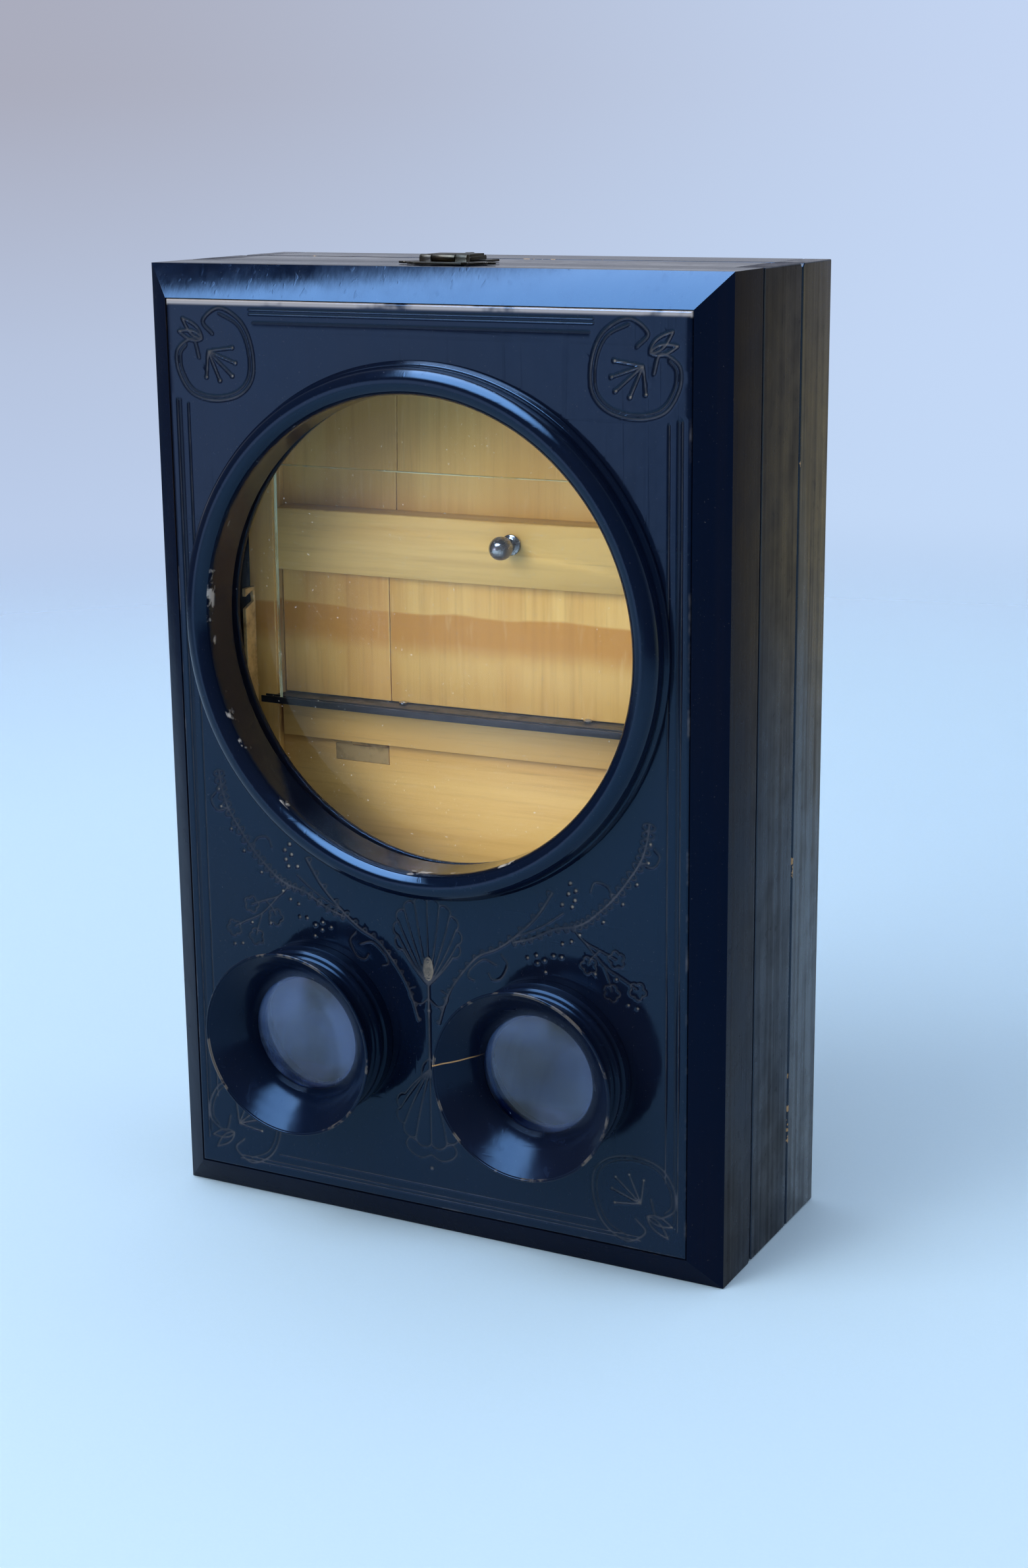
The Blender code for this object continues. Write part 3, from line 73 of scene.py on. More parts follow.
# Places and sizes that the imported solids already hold.
PANEL_LOW, PANEL_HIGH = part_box("lens_panel")
RING_LOW, RING_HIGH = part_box("lens_ring")
LENS_LOW, LENS_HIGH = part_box("reading_lens")
RETAINER_LOW, RETAINER_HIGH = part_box("lens_retainer")
CUP_LOW, CUP_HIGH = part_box("eyecup_right")
EYE_LENS_LOW, EYE_LENS_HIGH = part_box("eyepiece_lens_right")
KNOB_LOW, KNOB_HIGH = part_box("easel_knob")
FACE = PANEL_LOW.y
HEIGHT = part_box("lens_board_moulding")[1].z
HEAD_RAIL_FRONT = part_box("easel_head_rail")[0].y
CUP_X = (CUP_LOW.x + CUP_HIGH.x) / 2
CUP_Z = (CUP_LOW.z + CUP_HIGH.z) / 2
CUP_RADIUS = (CUP_HIGH.x - CUP_LOW.x) / 2
CUP_REACH = FACE - CUP_LOW.y
RING_Z = (RING_LOW.z + RING_HIGH.z) / 2
RING_RADIUS = (RING_HIGH.x - RING_LOW.x) / 2
RING_REACH = FACE - RING_LOW.y
LENS_RADIUS = (LENS_HIGH.x - LENS_LOW.x) / 2
EYE_LENS_RADIUS = (EYE_LENS_HIGH.x - EYE_LENS_LOW.x) / 2
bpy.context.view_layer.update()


class GraphoscopeSizes(bpy.types.PropertyGroup):
    """Sizes that a user may change without touching the solids."""

    panel_cell: FloatProperty(name="Panel cell", description="Side of the panel's plain mesh cells",
                              default=0.0018, min=0.001, max=0.004, subtype="DISTANCE", unit="LENGTH")
    panel_parts: IntProperty(name="Cell parts", description="Parts that an engraved cell is split in, each way",
                             default=4, min=2, max=5)
    groove_depth: FloatProperty(name="Groove depth", description="Depth of the ornament's main strokes",
                                default=0.00032, min=0.0, max=0.001, subtype="DISTANCE", unit="LENGTH")
    panel_easing: FloatProperty(name="Panel easing", description="Radius of the panel's eased outer edge",
                                default=0.0009, min=0.0001, max=0.002, subtype="DISTANCE", unit="LENGTH")
    ring_sides: IntProperty(name="Ring sides", description="Faces round the large turned ring and lens",
                            default=288, min=64, max=512)
    cup_sides: IntProperty(name="Cup sides", description="Faces round an eyecup",
                           default=176, min=48, max=360)


class GraphoscopeColours(bpy.types.PropertyGroup):
    """Colours of the finishes."""

    lacquer: FloatVectorProperty(name="Lacquer", description="Black lacquer of the box", subtype="COLOR",
                                 size=3, min=0.0, max=1.0, default=(0.0018, 0.0044, 0.0135))
    undertone: FloatVectorProperty(name="Undertone", description="Brown that shows through thin lacquer",
                                   subtype="COLOR", size=3, min=0.0, max=1.0, default=(0.0130, 0.0095, 0.0085))
    bare_wood: FloatVectorProperty(name="Bare wood", description="Wood under chipped lacquer", subtype="COLOR",
                                   size=3, min=0.0, max=1.0, default=(0.30, 0.185, 0.080))
    gilt: FloatVectorProperty(name="Gilt", description="Dulled gilding in the engraved strokes",
                              subtype="COLOR", size=3, min=0.0, max=1.0, default=(0.170, 0.150, 0.118))
    honey: FloatVectorProperty(name="Honey wood", description="Pale wood of the boards", subtype="COLOR",
                               size=3, min=0.0, max=1.0, default=(0.78, 0.530, 0.180))
    amber: FloatVectorProperty(name="Amber wood", description="Darker figure in the pale wood",
                               subtype="COLOR", size=3, min=0.0, max=1.0, default=(0.52, 0.235, 0.030))
    floor: FloatVectorProperty(name="Floor", description="Pale floor", subtype="COLOR", size=3,
                               min=0.0, max=1.0, default=(0.405, 0.555, 0.68))


def sizes():
    """The sizes that the scene holds."""
    return bpy.context.scene.graphoscope_sizes


def colours():
    """The colours that the scene holds."""
    return bpy.context.scene.graphoscope_colours


# Finishes, all built out of nodes.

class Nodes:
    """Adds nodes to a tree, fills their sockets and links them."""

    def __init__(self, tree):
        self.nodes = tree.nodes
        self.links = tree.links

    def fill(self, socket, value):
        """Links a socket to another one, or sets its own value."""
        if isinstance(value, bpy.types.NodeSocket):
            self.links.new(value, socket)
        elif socket.type == "RGBA":
            socket.default_value = (*value[:3], 1.0)
        else:
            socket.default_value = value

    def add(self, kind, values=(), **settings):
        """A new node of that kind, with its settings made and its sockets filled."""
        node = self.nodes.new(kind)
        for key, value in settings.items():
            setattr(node, key, value)
        for key, value in dict(values).items():
            self.fill(node.inputs[key], value)
        return node

    def ramp(self, value, start, stop, low=0.0, high=1.0):
        """Carries value from start..stop to low..high, held at both ends, with a soft turn."""
        return self.add("ShaderNodeMapRange", {"Value": value, "From Min": start, "From Max": stop,
                                               "To Min": low, "To Max": high},
                        interpolation_type="SMOOTHSTEP").outputs[0]

    def calc(self, how, first, second=0.0):
        """One step of arithmetic."""
        return self.add("ShaderNodeMath", {0: first, 1: second}, operation=how).outputs[0]

    def plus(self, first, second):
        """The first value and the second together."""
        return self.calc("ADD", first, second)

    def less(self, first, second):
        """The first value without the second."""
        return self.calc("SUBTRACT", first, second)

    def times(self, first, second):
        """The product of two values."""
        return self.calc("MULTIPLY", first, second)

    def larger(self, first, second):
        """The larger of two values."""
        return self.calc("MAXIMUM", first, second)

    def mix(self, share, first, second):
        """The second colour laid over the first one by its share."""
        return self.add("ShaderNodeMix", {0: share, 6: first, 7: second}, data_type="RGBA").outputs[2]


class Maker(Nodes):
    """Builds one finish. Patterns are read on Object coordinates, in metres."""

    def __init__(self, name):
        self.material = bpy.data.materials.new(name)
        self.material.use_nodes = True
        super().__init__(self.material.node_tree)
        self.shader = self.nodes["Principled BSDF"]
        self.output = self.nodes["Material Output"]
        self.place = self.nodes.new("ShaderNodeTexCoord").outputs["Object"]

    def noise(self, scale, detail=3.0, rough=0.5, stretch=(1, 1, 1), twist=0.0, turn=(0, 0, 0)):
        """Cloudy values round a half, drawn out along the axes whose stretch is small."""
        vector = self.place
        if tuple(stretch) != (1, 1, 1) or tuple(turn) != (0, 0, 0):
            vector = self.add("ShaderNodeMapping", {"Vector": vector, "Scale": stretch,
                                                    "Rotation": turn}).outputs[0]
        return self.add("ShaderNodeTexNoise", {"Vector": vector, "Scale": scale, "Detail": detail,
                                               "Roughness": rough, "Distortion": twist}).outputs[0]

    def wander(self, scale, reach):
        """A slow drift to both sides of nought, no wider than its reach in metres."""
        return self.times(self.less(self.noise(scale, 2.0, 0.5), 0.5), reach)

    def axes(self):
        """The x, y and z of the place, as three sockets."""
        return self.add("ShaderNodeSeparateXYZ", {"Vector": self.place}).outputs

    def attribute(self, name):
        """A value that the mesh holds at its points."""
        return self.add("ShaderNodeAttribute", attribute_name=name).outputs["Fac"]

    def bump(self, height, distance, under=None):
        """A relief of a height pattern, laid over the relief under it."""
        values = {"Height": height, "Distance": distance}
        if under:
            values["Normal"] = under
        return self.add("ShaderNodeBump", values).outputs[0]

    def set(self, **values):
        """Fills sockets of the finish's shader, whose names are written with underscores here."""
        for key, value in values.items():
            self.fill(self.shader.inputs[key.replace("_", " ")], value)

    def clear_by(self, share, colour=(1.0, 1.0, 1.0)):
        """Lets what is behind through, tinted by the colour, in place of the finish by a share."""
        clear = self.add("ShaderNodeBsdfTransparent", {"Color": colour})
        both = self.add("ShaderNodeMixShader", {0: share, 1: self.shader.outputs[0],
                                                2: clear.outputs[0]})
        self.links.new(both.outputs[0], self.output.inputs["Surface"])


def engrave(make, colour, gloss):
    """The strokes of the gilt attribute, dark at their sides and gilt at their bottom where the
    gilding has stayed, the shallower ones greyed as a painted highlight, and the panel's outer edge,
    with sparse wear and a painted highlight as a pale band along its top. Returns the colour,
    the roughness and how metallic it is."""
    carved = make.attribute("gilt")
    colour = make.mix(make.ramp(carved, 0.03, 0.35, 0.0, 0.6), colour, (0.0050, 0.0045, 0.0055))
    kept = make.ramp(make.noise(95.0, 4.0, 0.65), 0.38, 0.62, 0.30, 1.0)
    gilt = make.plus(make.ramp(carved, 0.45, 0.74, 0.0, 0.34), make.ramp(carved, 0.80, 0.98, 0.0, 0.70))
    gilt = make.times(gilt, kept)
    # The grey tone of the shallower strokes is a painted highlight; only the deeper strokes take the gilt.
    tone = make.mix(make.ramp(carved, 0.78, 0.92), (0.105, 0.105, 0.118), colours().gilt)
    colour = make.mix(gilt, colour, tone)
    gloss = make.plus(gloss, make.times(make.ramp(carved, 0.05, 0.5), 0.30))
    # Along the panel's top (high) the pale colour is a painted highlight of the eased edge; elsewhere on the edge
    # it is sparse wear.
    high = make.ramp(make.axes()[2], PANEL_HIGH.z - 0.0024, PANEL_HIGH.z - 0.0012)
    wear_and_top_highlight = make.larger(make.ramp(make.noise(75.0, 4.0, 0.6), 0.52, 0.70, 0.0, 0.14),
                       make.times(high, make.ramp(make.noise(60.0, 3.0, 0.6), 0.32, 0.48)))
    reach = make.larger(make.ramp(make.attribute("edge"), 0.25, 0.75), make.times(high, 0.75))
    colour = make.mix(make.times(make.times(reach, wear_and_top_highlight), 0.8), colour, (0.36, 0.35, 0.36))
    return colour, gloss, make.times(gilt, 0.35)


def split_open(make, colour, start, stop, height):
    """Bare wood along a fine, wavering split at that height, from start to stop in x."""
    x, _, z = make.axes()
    wander = make.wander(60.0, 0.0016)
    slope = make.times(make.less(x, start), 0.16)
    away = make.calc("ABSOLUTE", make.plus(make.less(make.less(z, height), slope), wander))
    line = make.ramp(away, 0.00012, 0.00034, 1.0, 0.0)
    line = make.times(line, make.ramp(x, stop - 0.004, stop, 1.0, 0.0))
    return make.mix(line, colour, colours().bare_wood)


def make_lacquer(name, shine, brushed=0.0, wear=0.0, engraved=False, along=(1, 1, 0.02), brown=0.4,
                 tint=(0.40, 0.70, 1.0), level=0.3, wave=0.0005, rub_and_highlight=None, split=None):
    """Old black lacquer: two tones of black, hazed in patches, with dust, hairlines, brushing and
    chips. rub_and_highlight is how rare and how pale the pale spots of the edge attribute are: spots
    of rubbing that are also a painted highlight along rims. split is the start and stop in x and the
    height of a fine split."""
    make = Maker(name)
    tones = colours()
    cloud = make.noise(11.0, 5.0, 0.6)
    fine = make.noise(85.0, 3.0, 0.55)
    brush = make.noise(230.0, 4.0, 0.6, along)
    broad = make.noise(48.0, 3.0, 0.5, along)
    thin = make.ramp(make.plus(cloud, make.times(broad, 0.35)), 0.50, 0.92, 0.0, brown)
    colour = make.mix(thin, tones.lacquer, tones.undertone)
    dust = make.ramp(make.noise(1500.0, 2.0, 0.5), 0.70, 0.79, 0.0, 0.16)
    colour = make.mix(dust, colour, (0.16, 0.165, 0.18))
    upright = make.noise(420.0, 1.0, 0.4, (1.0, 1.0, 0.03), 0.15, (0.0, 0.9, 0.25))
    level_line = make.noise(380.0, 1.0, 0.4, (0.03, 1.0, 1.0), 0.2, (0.0, 0.35, -0.2))
    lines = make.larger(make.ramp(upright, 0.66, 0.72), make.ramp(level_line, 0.67, 0.73))
    gloss = make.ramp(make.plus(fine, make.times(cloud, 0.8)), 0.62, 1.20, *shine)
    gloss = make.plus(gloss, make.times(dust, 0.5))
    gloss = make.plus(gloss, make.times(lines, 0.06))
    if brushed:
        gloss = make.plus(gloss, make.ramp(brush, 0.35, 0.75, 0.0, brushed * 0.35))
        colour = make.mix(make.ramp(brush, 0.45, 0.75, 0.0, brushed * 0.8), colour, tones.undertone)
    if wear:
        patch = make.noise(17.0, 2.0, 0.5)
        chip = make.plus(make.noise(95.0, 4.0, 0.65), make.times(patch, 0.7))
        bare = make.ramp(chip, 1.12 - wear * 0.22, 1.16 - wear * 0.22)
        rub = make.ramp(patch, 0.35, 0.75, 0.0, 0.15 + wear * 0.3)
        colour = make.mix(rub, colour, tones.undertone)
        colour = make.mix(bare, colour, tones.bare_wood)
        gloss = make.plus(gloss, make.times(bare, 0.30))
    if engraved:
        colour, gloss, metal = engrave(make, colour, gloss)
        make.set(Metallic=metal)
    if rub_and_highlight:
        rare, pale = rub_and_highlight
        spots = make.ramp(make.noise(85.0, 4.0, 0.65), rare, rare + 0.08)
        spots = make.times(make.ramp(make.attribute("edge"), 0.2, 0.9), spots)
        colour = make.mix(spots, colour, pale)
    if split:
        colour = split_open(make, colour, *split)
    # Specular_Tint colours the lacquer's reflections: a painted tint of its sheen, bluish on most faces and warm
    # on the case's sides.
    make.set(Base_Color=colour, Roughness=gloss, IOR=1.52, Specular_Tint=tint,
             Specular_IOR_Level=level)
    normal = make.bump(cloud, wave)
    normal = make.bump(brush, 0.00002 + brushed * 0.00011, normal)
    normal = make.bump(make.plus(lines, dust), 0.00001, normal)
    if wear:
        normal = make.bump(make.times(bare, -1.0), 0.00012, normal)
    make.set(Normal=normal)
    return make.material


def make_wood(name, along, deep, band=None):
    """Pale, close wood: broad figure, fine pores and short flecks that run along the grain. deep is
    how dark the figure gets, and band is the start and stop in z of a dark streak across."""
    make = Maker(name)
    tones = colours()
    squeeze = tuple(0.035 if k == along else 1.0 for k in range(3))
    fleck_squeeze = tuple(0.16 if k == along else 1.0 for k in range(3))
    figure = make.noise(34.0, 6.0, 0.62, squeeze, 0.35)
    streaks = make.noise(330.0, 3.0, 0.6, squeeze, 0.1)
    pores = make.noise(900.0, 3.0, 0.6, squeeze)
    flecks = make.noise(420.0, 2.0, 0.5, fleck_squeeze)
    cloud = make.noise(7.5, 3.0, 0.5)
    share = make.ramp(make.plus(figure, make.times(cloud, 0.6)), 0.60, 1.00, 0.0, deep)
    if band:
        start, stop = band
        height = make.plus(make.axes()[2], make.wander(22.0, 0.006))
        rise = make.ramp(height, start - 0.010, start, 0.30, 0.95)
        fall = make.ramp(height, stop, stop + 0.0016, 1.0, 0.0)
        share = make.larger(share, make.times(rise, fall))
    colour = make.mix(share, tones.honey, tones.amber)
    colour = make.mix(make.ramp(streaks, 0.48, 0.74, 0.0, 0.24), colour, (0.36, 0.165, 0.030))
    colour = make.mix(make.ramp(pores, 0.55, 0.80, 0.0, 0.22), colour, (0.20, 0.10, 0.03))
    colour = make.mix(make.ramp(flecks, 0.60, 0.74, 0.0, 0.18), colour, (0.80, 0.60, 0.30))
    gloss = make.ramp(make.plus(pores, make.times(cloud, 0.5)), 0.45, 1.05, 0.30, 0.50)
    make.set(Base_Color=colour, Roughness=gloss, IOR=1.48)
    normal = make.bump(figure, 0.00025)
    make.set(Normal=make.bump(make.times(pores, -1.0), 0.00002, normal))
    return make.material


def make_metal(name, bright, dark, shine, patina, pits=0.00003, tint=None, metal=(1.0, 0.72)):
    """Old metal: clean and tarnished tones in patches, fine pits and a roughness that follows them.
    patina is how far the tarnish spreads, and metal how metallic the clean and old parts are."""
    make = Maker(name)
    patch = make.noise(140.0, 5.0, 0.65)
    grain = make.noise(1400.0, 3.0, 0.6)
    broad = make.noise(36.0, 2.0, 0.5)
    age = make.ramp(make.plus(patch, make.times(broad, 0.5)), 0.78 - patina * 0.35, 0.98)
    colour = make.mix(age, bright, dark)
    if tint:
        colour = make.mix(make.ramp(broad, 0.52, 0.75, 0.0, 0.5), colour, tint)
    gloss = make.plus(make.ramp(age, 0.0, 1.0, *shine), make.ramp(grain, 0.45, 0.85, 0.0, 0.10))
    make.set(Base_Color=colour, Roughness=gloss, Metallic=make.ramp(age, 0.2, 1.0, *metal))
    make.set(Normal=make.bump(grain, pits, make.bump(patch, 0.00006)))
    return make.material


def make_glass(name, tint, haze=(0.0, 0.012), bend=1.5, dust=0.25, milk=0.0, polish=0.0):
    """Clear glass with a trace of dust, which lets lamps light what is behind it. bend is how
    strongly it refracts, polish how much it reflects as glass of 1.5 does, and milk how pale its
    clouded patches are."""
    make = Maker(name)
    smear = make.noise(26.0, 4.0, 0.55, twist=0.6)
    speck = make.ramp(make.noise(1100.0, 1.0, 0.5), 0.74, 0.80)
    film = make.ramp(smear, 0.40, 0.75, *haze)
    make.set(Base_Color=tint, IOR=bend, Roughness=make.plus(film, make.times(speck, 0.05)))
    clear = make.ramp(speck, 0.0, 1.0, 1.0, 1.0 - dust)
    if milk:
        clear = make.times(clear, make.ramp(smear, 0.35, 0.68, 1.0, 1.0 - milk))
    make.set(Transmission_Weight=clear, Normal=make.bump(smear, 0.00003))
    if polish:
        make.set(Coat_Weight=polish, Coat_Roughness=0.015, Coat_IOR=1.5)
    path = make.add("ShaderNodeLightPath").outputs
    make.clear_by(make.larger(path["Is Shadow Ray"], path["Is Diffuse Ray"]), tint)
    return make.material


# The cups' pale rim line is a painted highlight of the rim, with some rubbing.
CUP_LOOK = dict(shine=(0.14, 0.26), brown=0.15, level=0.15, rub_and_highlight=(0.52, (0.060, 0.054, 0.050)))
CUP_SPLIT = (CUP_X - CUP_RADIUS, CUP_X - CUP_RADIUS * 0.60, CUP_Z + 0.0022)
GRAIN_X, GRAIN_Y, GRAIN_Z = range(3)
# Each finish: what makes it, and with which values.
FINISHES = {
    "face_lacquer": (make_lacquer, dict(shine=(0.05, 0.15), engraved=True, brushed=0.05, brown=0.12)),
    # The case's lacquer comes in copies by face, told apart by brown, reflection tint and level: the shaded copies
    # darken sides and chamfers, the lit copies brighten tops and the base's sides, painted shade and light.
    "shaded_case_lacquer": (make_lacquer, dict(shine=(0.20, 0.36), brushed=0.6, brown=0.9,
                                        tint=(1.0, 0.95, 0.80), level=0.06)),
    "lit_rear_lacquer": (make_lacquer, dict(shine=(0.14, 0.30), brushed=0.9, brown=0.9,
                                        tint=(1.0, 0.92, 0.76), level=0.33)),
    "front_side_lacquer": (make_lacquer, dict(shine=(0.16, 0.30), brushed=0.5, brown=0.9,
                                              tint=(1.0, 0.93, 0.74), level=0.035)),
    "lit_top_lacquer": (make_lacquer, dict(shine=(0.10, 0.22), brushed=0.2, along=(0.02, 1, 1),
                                       brown=0.05, tint=(0.80, 0.90, 1.0), level=0.5)),
    "chamfer_lacquer": (make_lacquer, dict(shine=(0.08, 0.20), brushed=0.12, brown=0.1, wave=0.0001)),
    "dark_lacquer": (make_lacquer, dict(shine=(0.12, 0.26), brushed=0.12, brown=0.1,
                                        tint=(0.30, 0.60, 1.0), level=0.02)),
    "case_edge": (make_lacquer, dict(shine=(0.12, 0.30), wear=0.42)),
    # The ring's pale spots along its lip are chips, partly a painted highlight of the lip.
    "turned_lacquer": (make_lacquer, dict(shine=(0.05, 0.13), brown=0.12,
                                          rub_and_highlight=(0.585, (0.34, 0.33, 0.32)))),
    "cup_lacquer": (make_lacquer, CUP_LOOK),
    "split_cup_lacquer": (make_lacquer, dict(CUP_LOOK, split=CUP_SPLIT)),
    "inner_lacquer": (make_lacquer, dict(shine=(0.24, 0.42), brushed=0.5, brown=0.9)),
    "rail_lacquer": (make_lacquer, dict(shine=(0.22, 0.38), brushed=0.4)),
    "upright_wood": (make_wood, dict(along=GRAIN_Z, deep=0.75, band=(0.2070, 0.2145))),
    "floor_wood": (make_wood, dict(along=GRAIN_Z, deep=0.55)),
    "cross_wood": (make_wood, dict(along=GRAIN_X, deep=0.35)),
    "cut_wood": (make_wood, dict(along=GRAIN_Y, deep=0.60)),
    "clasp_bronze": (make_metal, dict(bright=(0.062, 0.046, 0.028), dark=(0.014, 0.012, 0.009),
                                      shine=(0.30, 0.55), patina=0.7, pits=0.00005,
                                      tint=(0.035, 0.036, 0.022))),
    "hinge_brass": (make_metal, dict(bright=(0.74, 0.54, 0.24), dark=(0.36, 0.23, 0.09),
                                     shine=(0.30, 0.52), patina=0.35, metal=(0.45, 0.30))),
    "bright_steel": (make_metal, dict(bright=(0.50, 0.50, 0.51), dark=(0.18, 0.18, 0.19),
                                      shine=(0.10, 0.30), patina=0.15)),
    "black_japan": (make_metal, dict(bright=(0.012, 0.013, 0.015), dark=(0.006, 0.006, 0.007),
                                     shine=(0.36, 0.55), patina=0.5, metal=(0.1, 0.05))),
    "lens_glass": (make_glass, dict(tint=(0.998, 0.998, 0.99), bend=1.08, polish=0.28)),
    "eye_glass": (make_glass, dict(tint=(0.27, 0.43, 0.76), haze=(0.02, 0.20), milk=0.13)),
    "plate_glass": (make_glass, dict(tint=(0.98, 0.99, 0.975), bend=1.08, polish=0.08)),
    "plate_edge": (make_glass, dict(tint=(0.66, 0.80, 0.62), haze=(0.05, 0.20), bend=1.08, dust=0.6,
                                    milk=0.85)),
}


def finish(name):
    """The finish of that name, made the first time it is asked for."""
    maker, values = FINISHES[name]
    return bpy.data.materials.get(name) or maker(name, **values)


# Surfaces and objects.

def smooth_through(points, steps):
    """A curve through all the points: in each span, a cubic whose ends lean as their neighbours lie."""
    given = np.asarray(points, float)
    ends = np.vstack((2 * given[0] - given[1], given, 2 * given[-1] - given[-2]))
    a, b, c, d = (ends[k:len(ends) - 3 + k, None] for k in range(4))
    t = np.linspace(0, 1, steps, endpoint=False)[None, :, None]
    curve = (2 * b + (c - a) * t + (2 * a - 5 * b + 4 * c - d) * t ** 2 + (3 * b - a - 3 * c + d) * t ** 3) / 2
    return np.vstack((curve.reshape(-1, given.shape[1]), given[-1:]))


def eased_loop(points, reach, steps=4):
    """A closed outline whose corners are rounded: each becomes a parabola that starts and ends at its reach."""
    corner = np.asarray(points, float)
    before, after = np.roll(corner, 1, 0) - corner, np.roll(corner, -1, 0) - corner
    reach = np.broadcast_to(np.asarray(reach, float), len(corner))[:, None]
    lengths = [np.maximum(np.linalg.norm(v, axis=1, keepdims=True), 1e-9) for v in (before, after)]
    starts = corner + before / lengths[0] * np.minimum(reach, lengths[0] * 0.45)
    stops = corner + after / lengths[1] * np.minimum(reach, lengths[1] * 0.45)
    t = np.linspace(0, 1, steps + 1)[None, :, None]
    curve = (1 - t) ** 2 * starts[:, None] + 2 * t * (1 - t) * corner[:, None] + t ** 2 * stops[:, None]
    return curve.reshape(-1, corner.shape[1])


def ring_faces(rings, sides, closed):
    """Quads between neighbouring rings of points, whose point k is in ring k // sides. Closed rings
    have quads from the last one to the first too."""
    ring = np.arange(rings if closed else rings - 1)[:, None]
    side = np.arange(sides)[None]
    after, next_ring = (side + 1) % sides, (ring + 1) % rings
    quads = np.stack((ring * sides + side, ring * sides + after, next_ring * sides + after,
                      next_ring * sides + side), -1)
    return quads.reshape(-1, 4)


def turned(profile, centre, sides):
    """A profile of (radius, depth) carried round y: (r cos t, d, r sin t) about the centre.
    It is a closed loop, or it starts and ends on the axis, where each end is one point."""
    profile = np.asarray(profile, float)
    turn = np.linspace(0, 2 * math.pi, sides, endpoint=False)
    poles = [profile[0, 0] < 1e-9, profile[-1, 0] < 1e-9]
    body = profile[1 if poles[0] else 0:len(profile) - 1 if poles[1] else len(profile)]
    radius, depth = body[:, :1], np.repeat(body[:, 1:], sides, 1)
    points = np.stack((radius * np.cos(turn), depth, radius * np.sin(turn)), -1).reshape(-1, 3)
    count = len(body)
    side = np.arange(sides)
    faces = [ring_faces(count, sides, not any(poles))]
    for is_pole, end, ring in ((poles[0], profile[0], 0), (poles[1], profile[-1], count - 1)):
        if is_pole:
            points = np.vstack((points, (0, end[1], 0)))
            tip = np.full(sides, len(points) - 1)
            faces.append(np.stack((ring * sides + side, ring * sides + (side + 1) % sides, tip), -1))
    return points + np.asarray(centre, float), faces


def put_piece(name, shells, body, finishes, nodes=(), sharp=35.0, attributes=None):
    """Makes one object of several closed shells, each (points, list of face arrays), with faces
    outward. attributes are values at its points that the finish reads."""
    points = np.vstack([shell[0] for shell in shells])
    starts = np.cumsum([0] + [len(shell[0]) for shell in shells[:-1]])
    faces = [face for start, shell in zip(starts, shells) for group in shell[1]
             for face in (group + start).tolist()]
    mesh = bpy.data.meshes.new(name)
    mesh.from_pydata(points.tolist(), [], faces)
    for material in finishes:
        mesh.materials.append(finish(material))
    for key, values in (attributes or {}).items():
        mesh.attributes.new(key, "FLOAT", "POINT").data.foreach_set("value", np.asarray(values, np.float32))
    bm = bmesh.new()
    bm.from_mesh(mesh)
    bmesh.ops.recalc_face_normals(bm, faces=bm.faces)
    bm.to_mesh(mesh)
    bm.free()
    mesh.shade_smooth()
    mesh.set_sharp_from_angle(angle=math.radians(sharp))
    return hang(bpy.data.objects.new(name, mesh), body, nodes)


def hang(piece, body, nodes=()):
    """Links a piece, lets it ride on its body, and hides the nodes that it stands for."""
    bpy.context.scene.collection.objects.link(piece)
    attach(piece, body)
    if nodes:
        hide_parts(*nodes)
    return piece


# How the solids' meshes are eased: angles in degrees, and a reach in metres.
EASED_ANGLE, SMOOTH_ANGLE, FLAT_ANGLE = 40.0, 35.0, 1.0
MERGE_REACH = 1e-6
CASE_EASING_STEPS, EASING_STEPS = 3, 2


def eased_copy(node, face, edge, width, steps):
    """The solid's own shape with its outer edges rounded: a merged copy of its mesh, whose convex
    edges sharper than EASED_ANGLE carry a Bevel. The rounded strips take the edge finish. Each of
    the node's LOOKS gives a finish to the faces whose normal, along its way, is over its limit."""
    name, looks = "eased_" + node, LOOKS.get(node, ())
    source = frame["nodes"][node]
    mesh = source.data.copy()
    mesh.name = name
    mesh.materials.clear()
    mesh.materials.append(finish(face))
    mesh.materials.append(finish(edge))
    for _, _, look in looks:
        mesh.materials.append(finish(look))
    bm = bmesh.new()
    bm.from_mesh(mesh)
    bmesh.ops.remove_doubles(bm, verts=bm.verts, dist=MERGE_REACH)
    bmesh.ops.dissolve_limit(bm, angle_limit=math.radians(FLAT_ANGLE), verts=bm.verts, edges=bm.edges)
    bmesh.ops.recalc_face_normals(bm, faces=bm.faces)
    weight = bm.edges.layers.float.new("bevel_weight_edge")
    limit, smooth_limit = math.radians(EASED_ANGLE), math.radians(SMOOTH_ANGLE)
    for edge_line in bm.edges:
        if len(edge_line.link_faces) == 2:
            turn = edge_line.calc_face_angle_signed(0.0)
            edge_line[weight] = 1.0 if turn > limit else 0.0
            edge_line.smooth = abs(turn) < smooth_limit or turn > limit
    for bm_face in bm.faces:
        bm_face.smooth = True
        bm_face.material_index = 0
        for number, (way, least, _) in enumerate(looks, 2):
            if bm_face.normal.dot(way) > least:
                bm_face.material_index = number
    bm.to_mesh(mesh)
    bm.free()
    piece = bpy.data.objects.new(name, mesh)
    bevel = piece.modifiers.new("eased edges", "BEVEL")
    bevel.limit_method = "WEIGHT"
    bevel.width = width
    bevel.segments = steps
    bevel.use_clamp_overlap = True
    bevel.harden_normals = True
    bevel.material = 1
    return hang(piece, source["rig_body"], (node,))


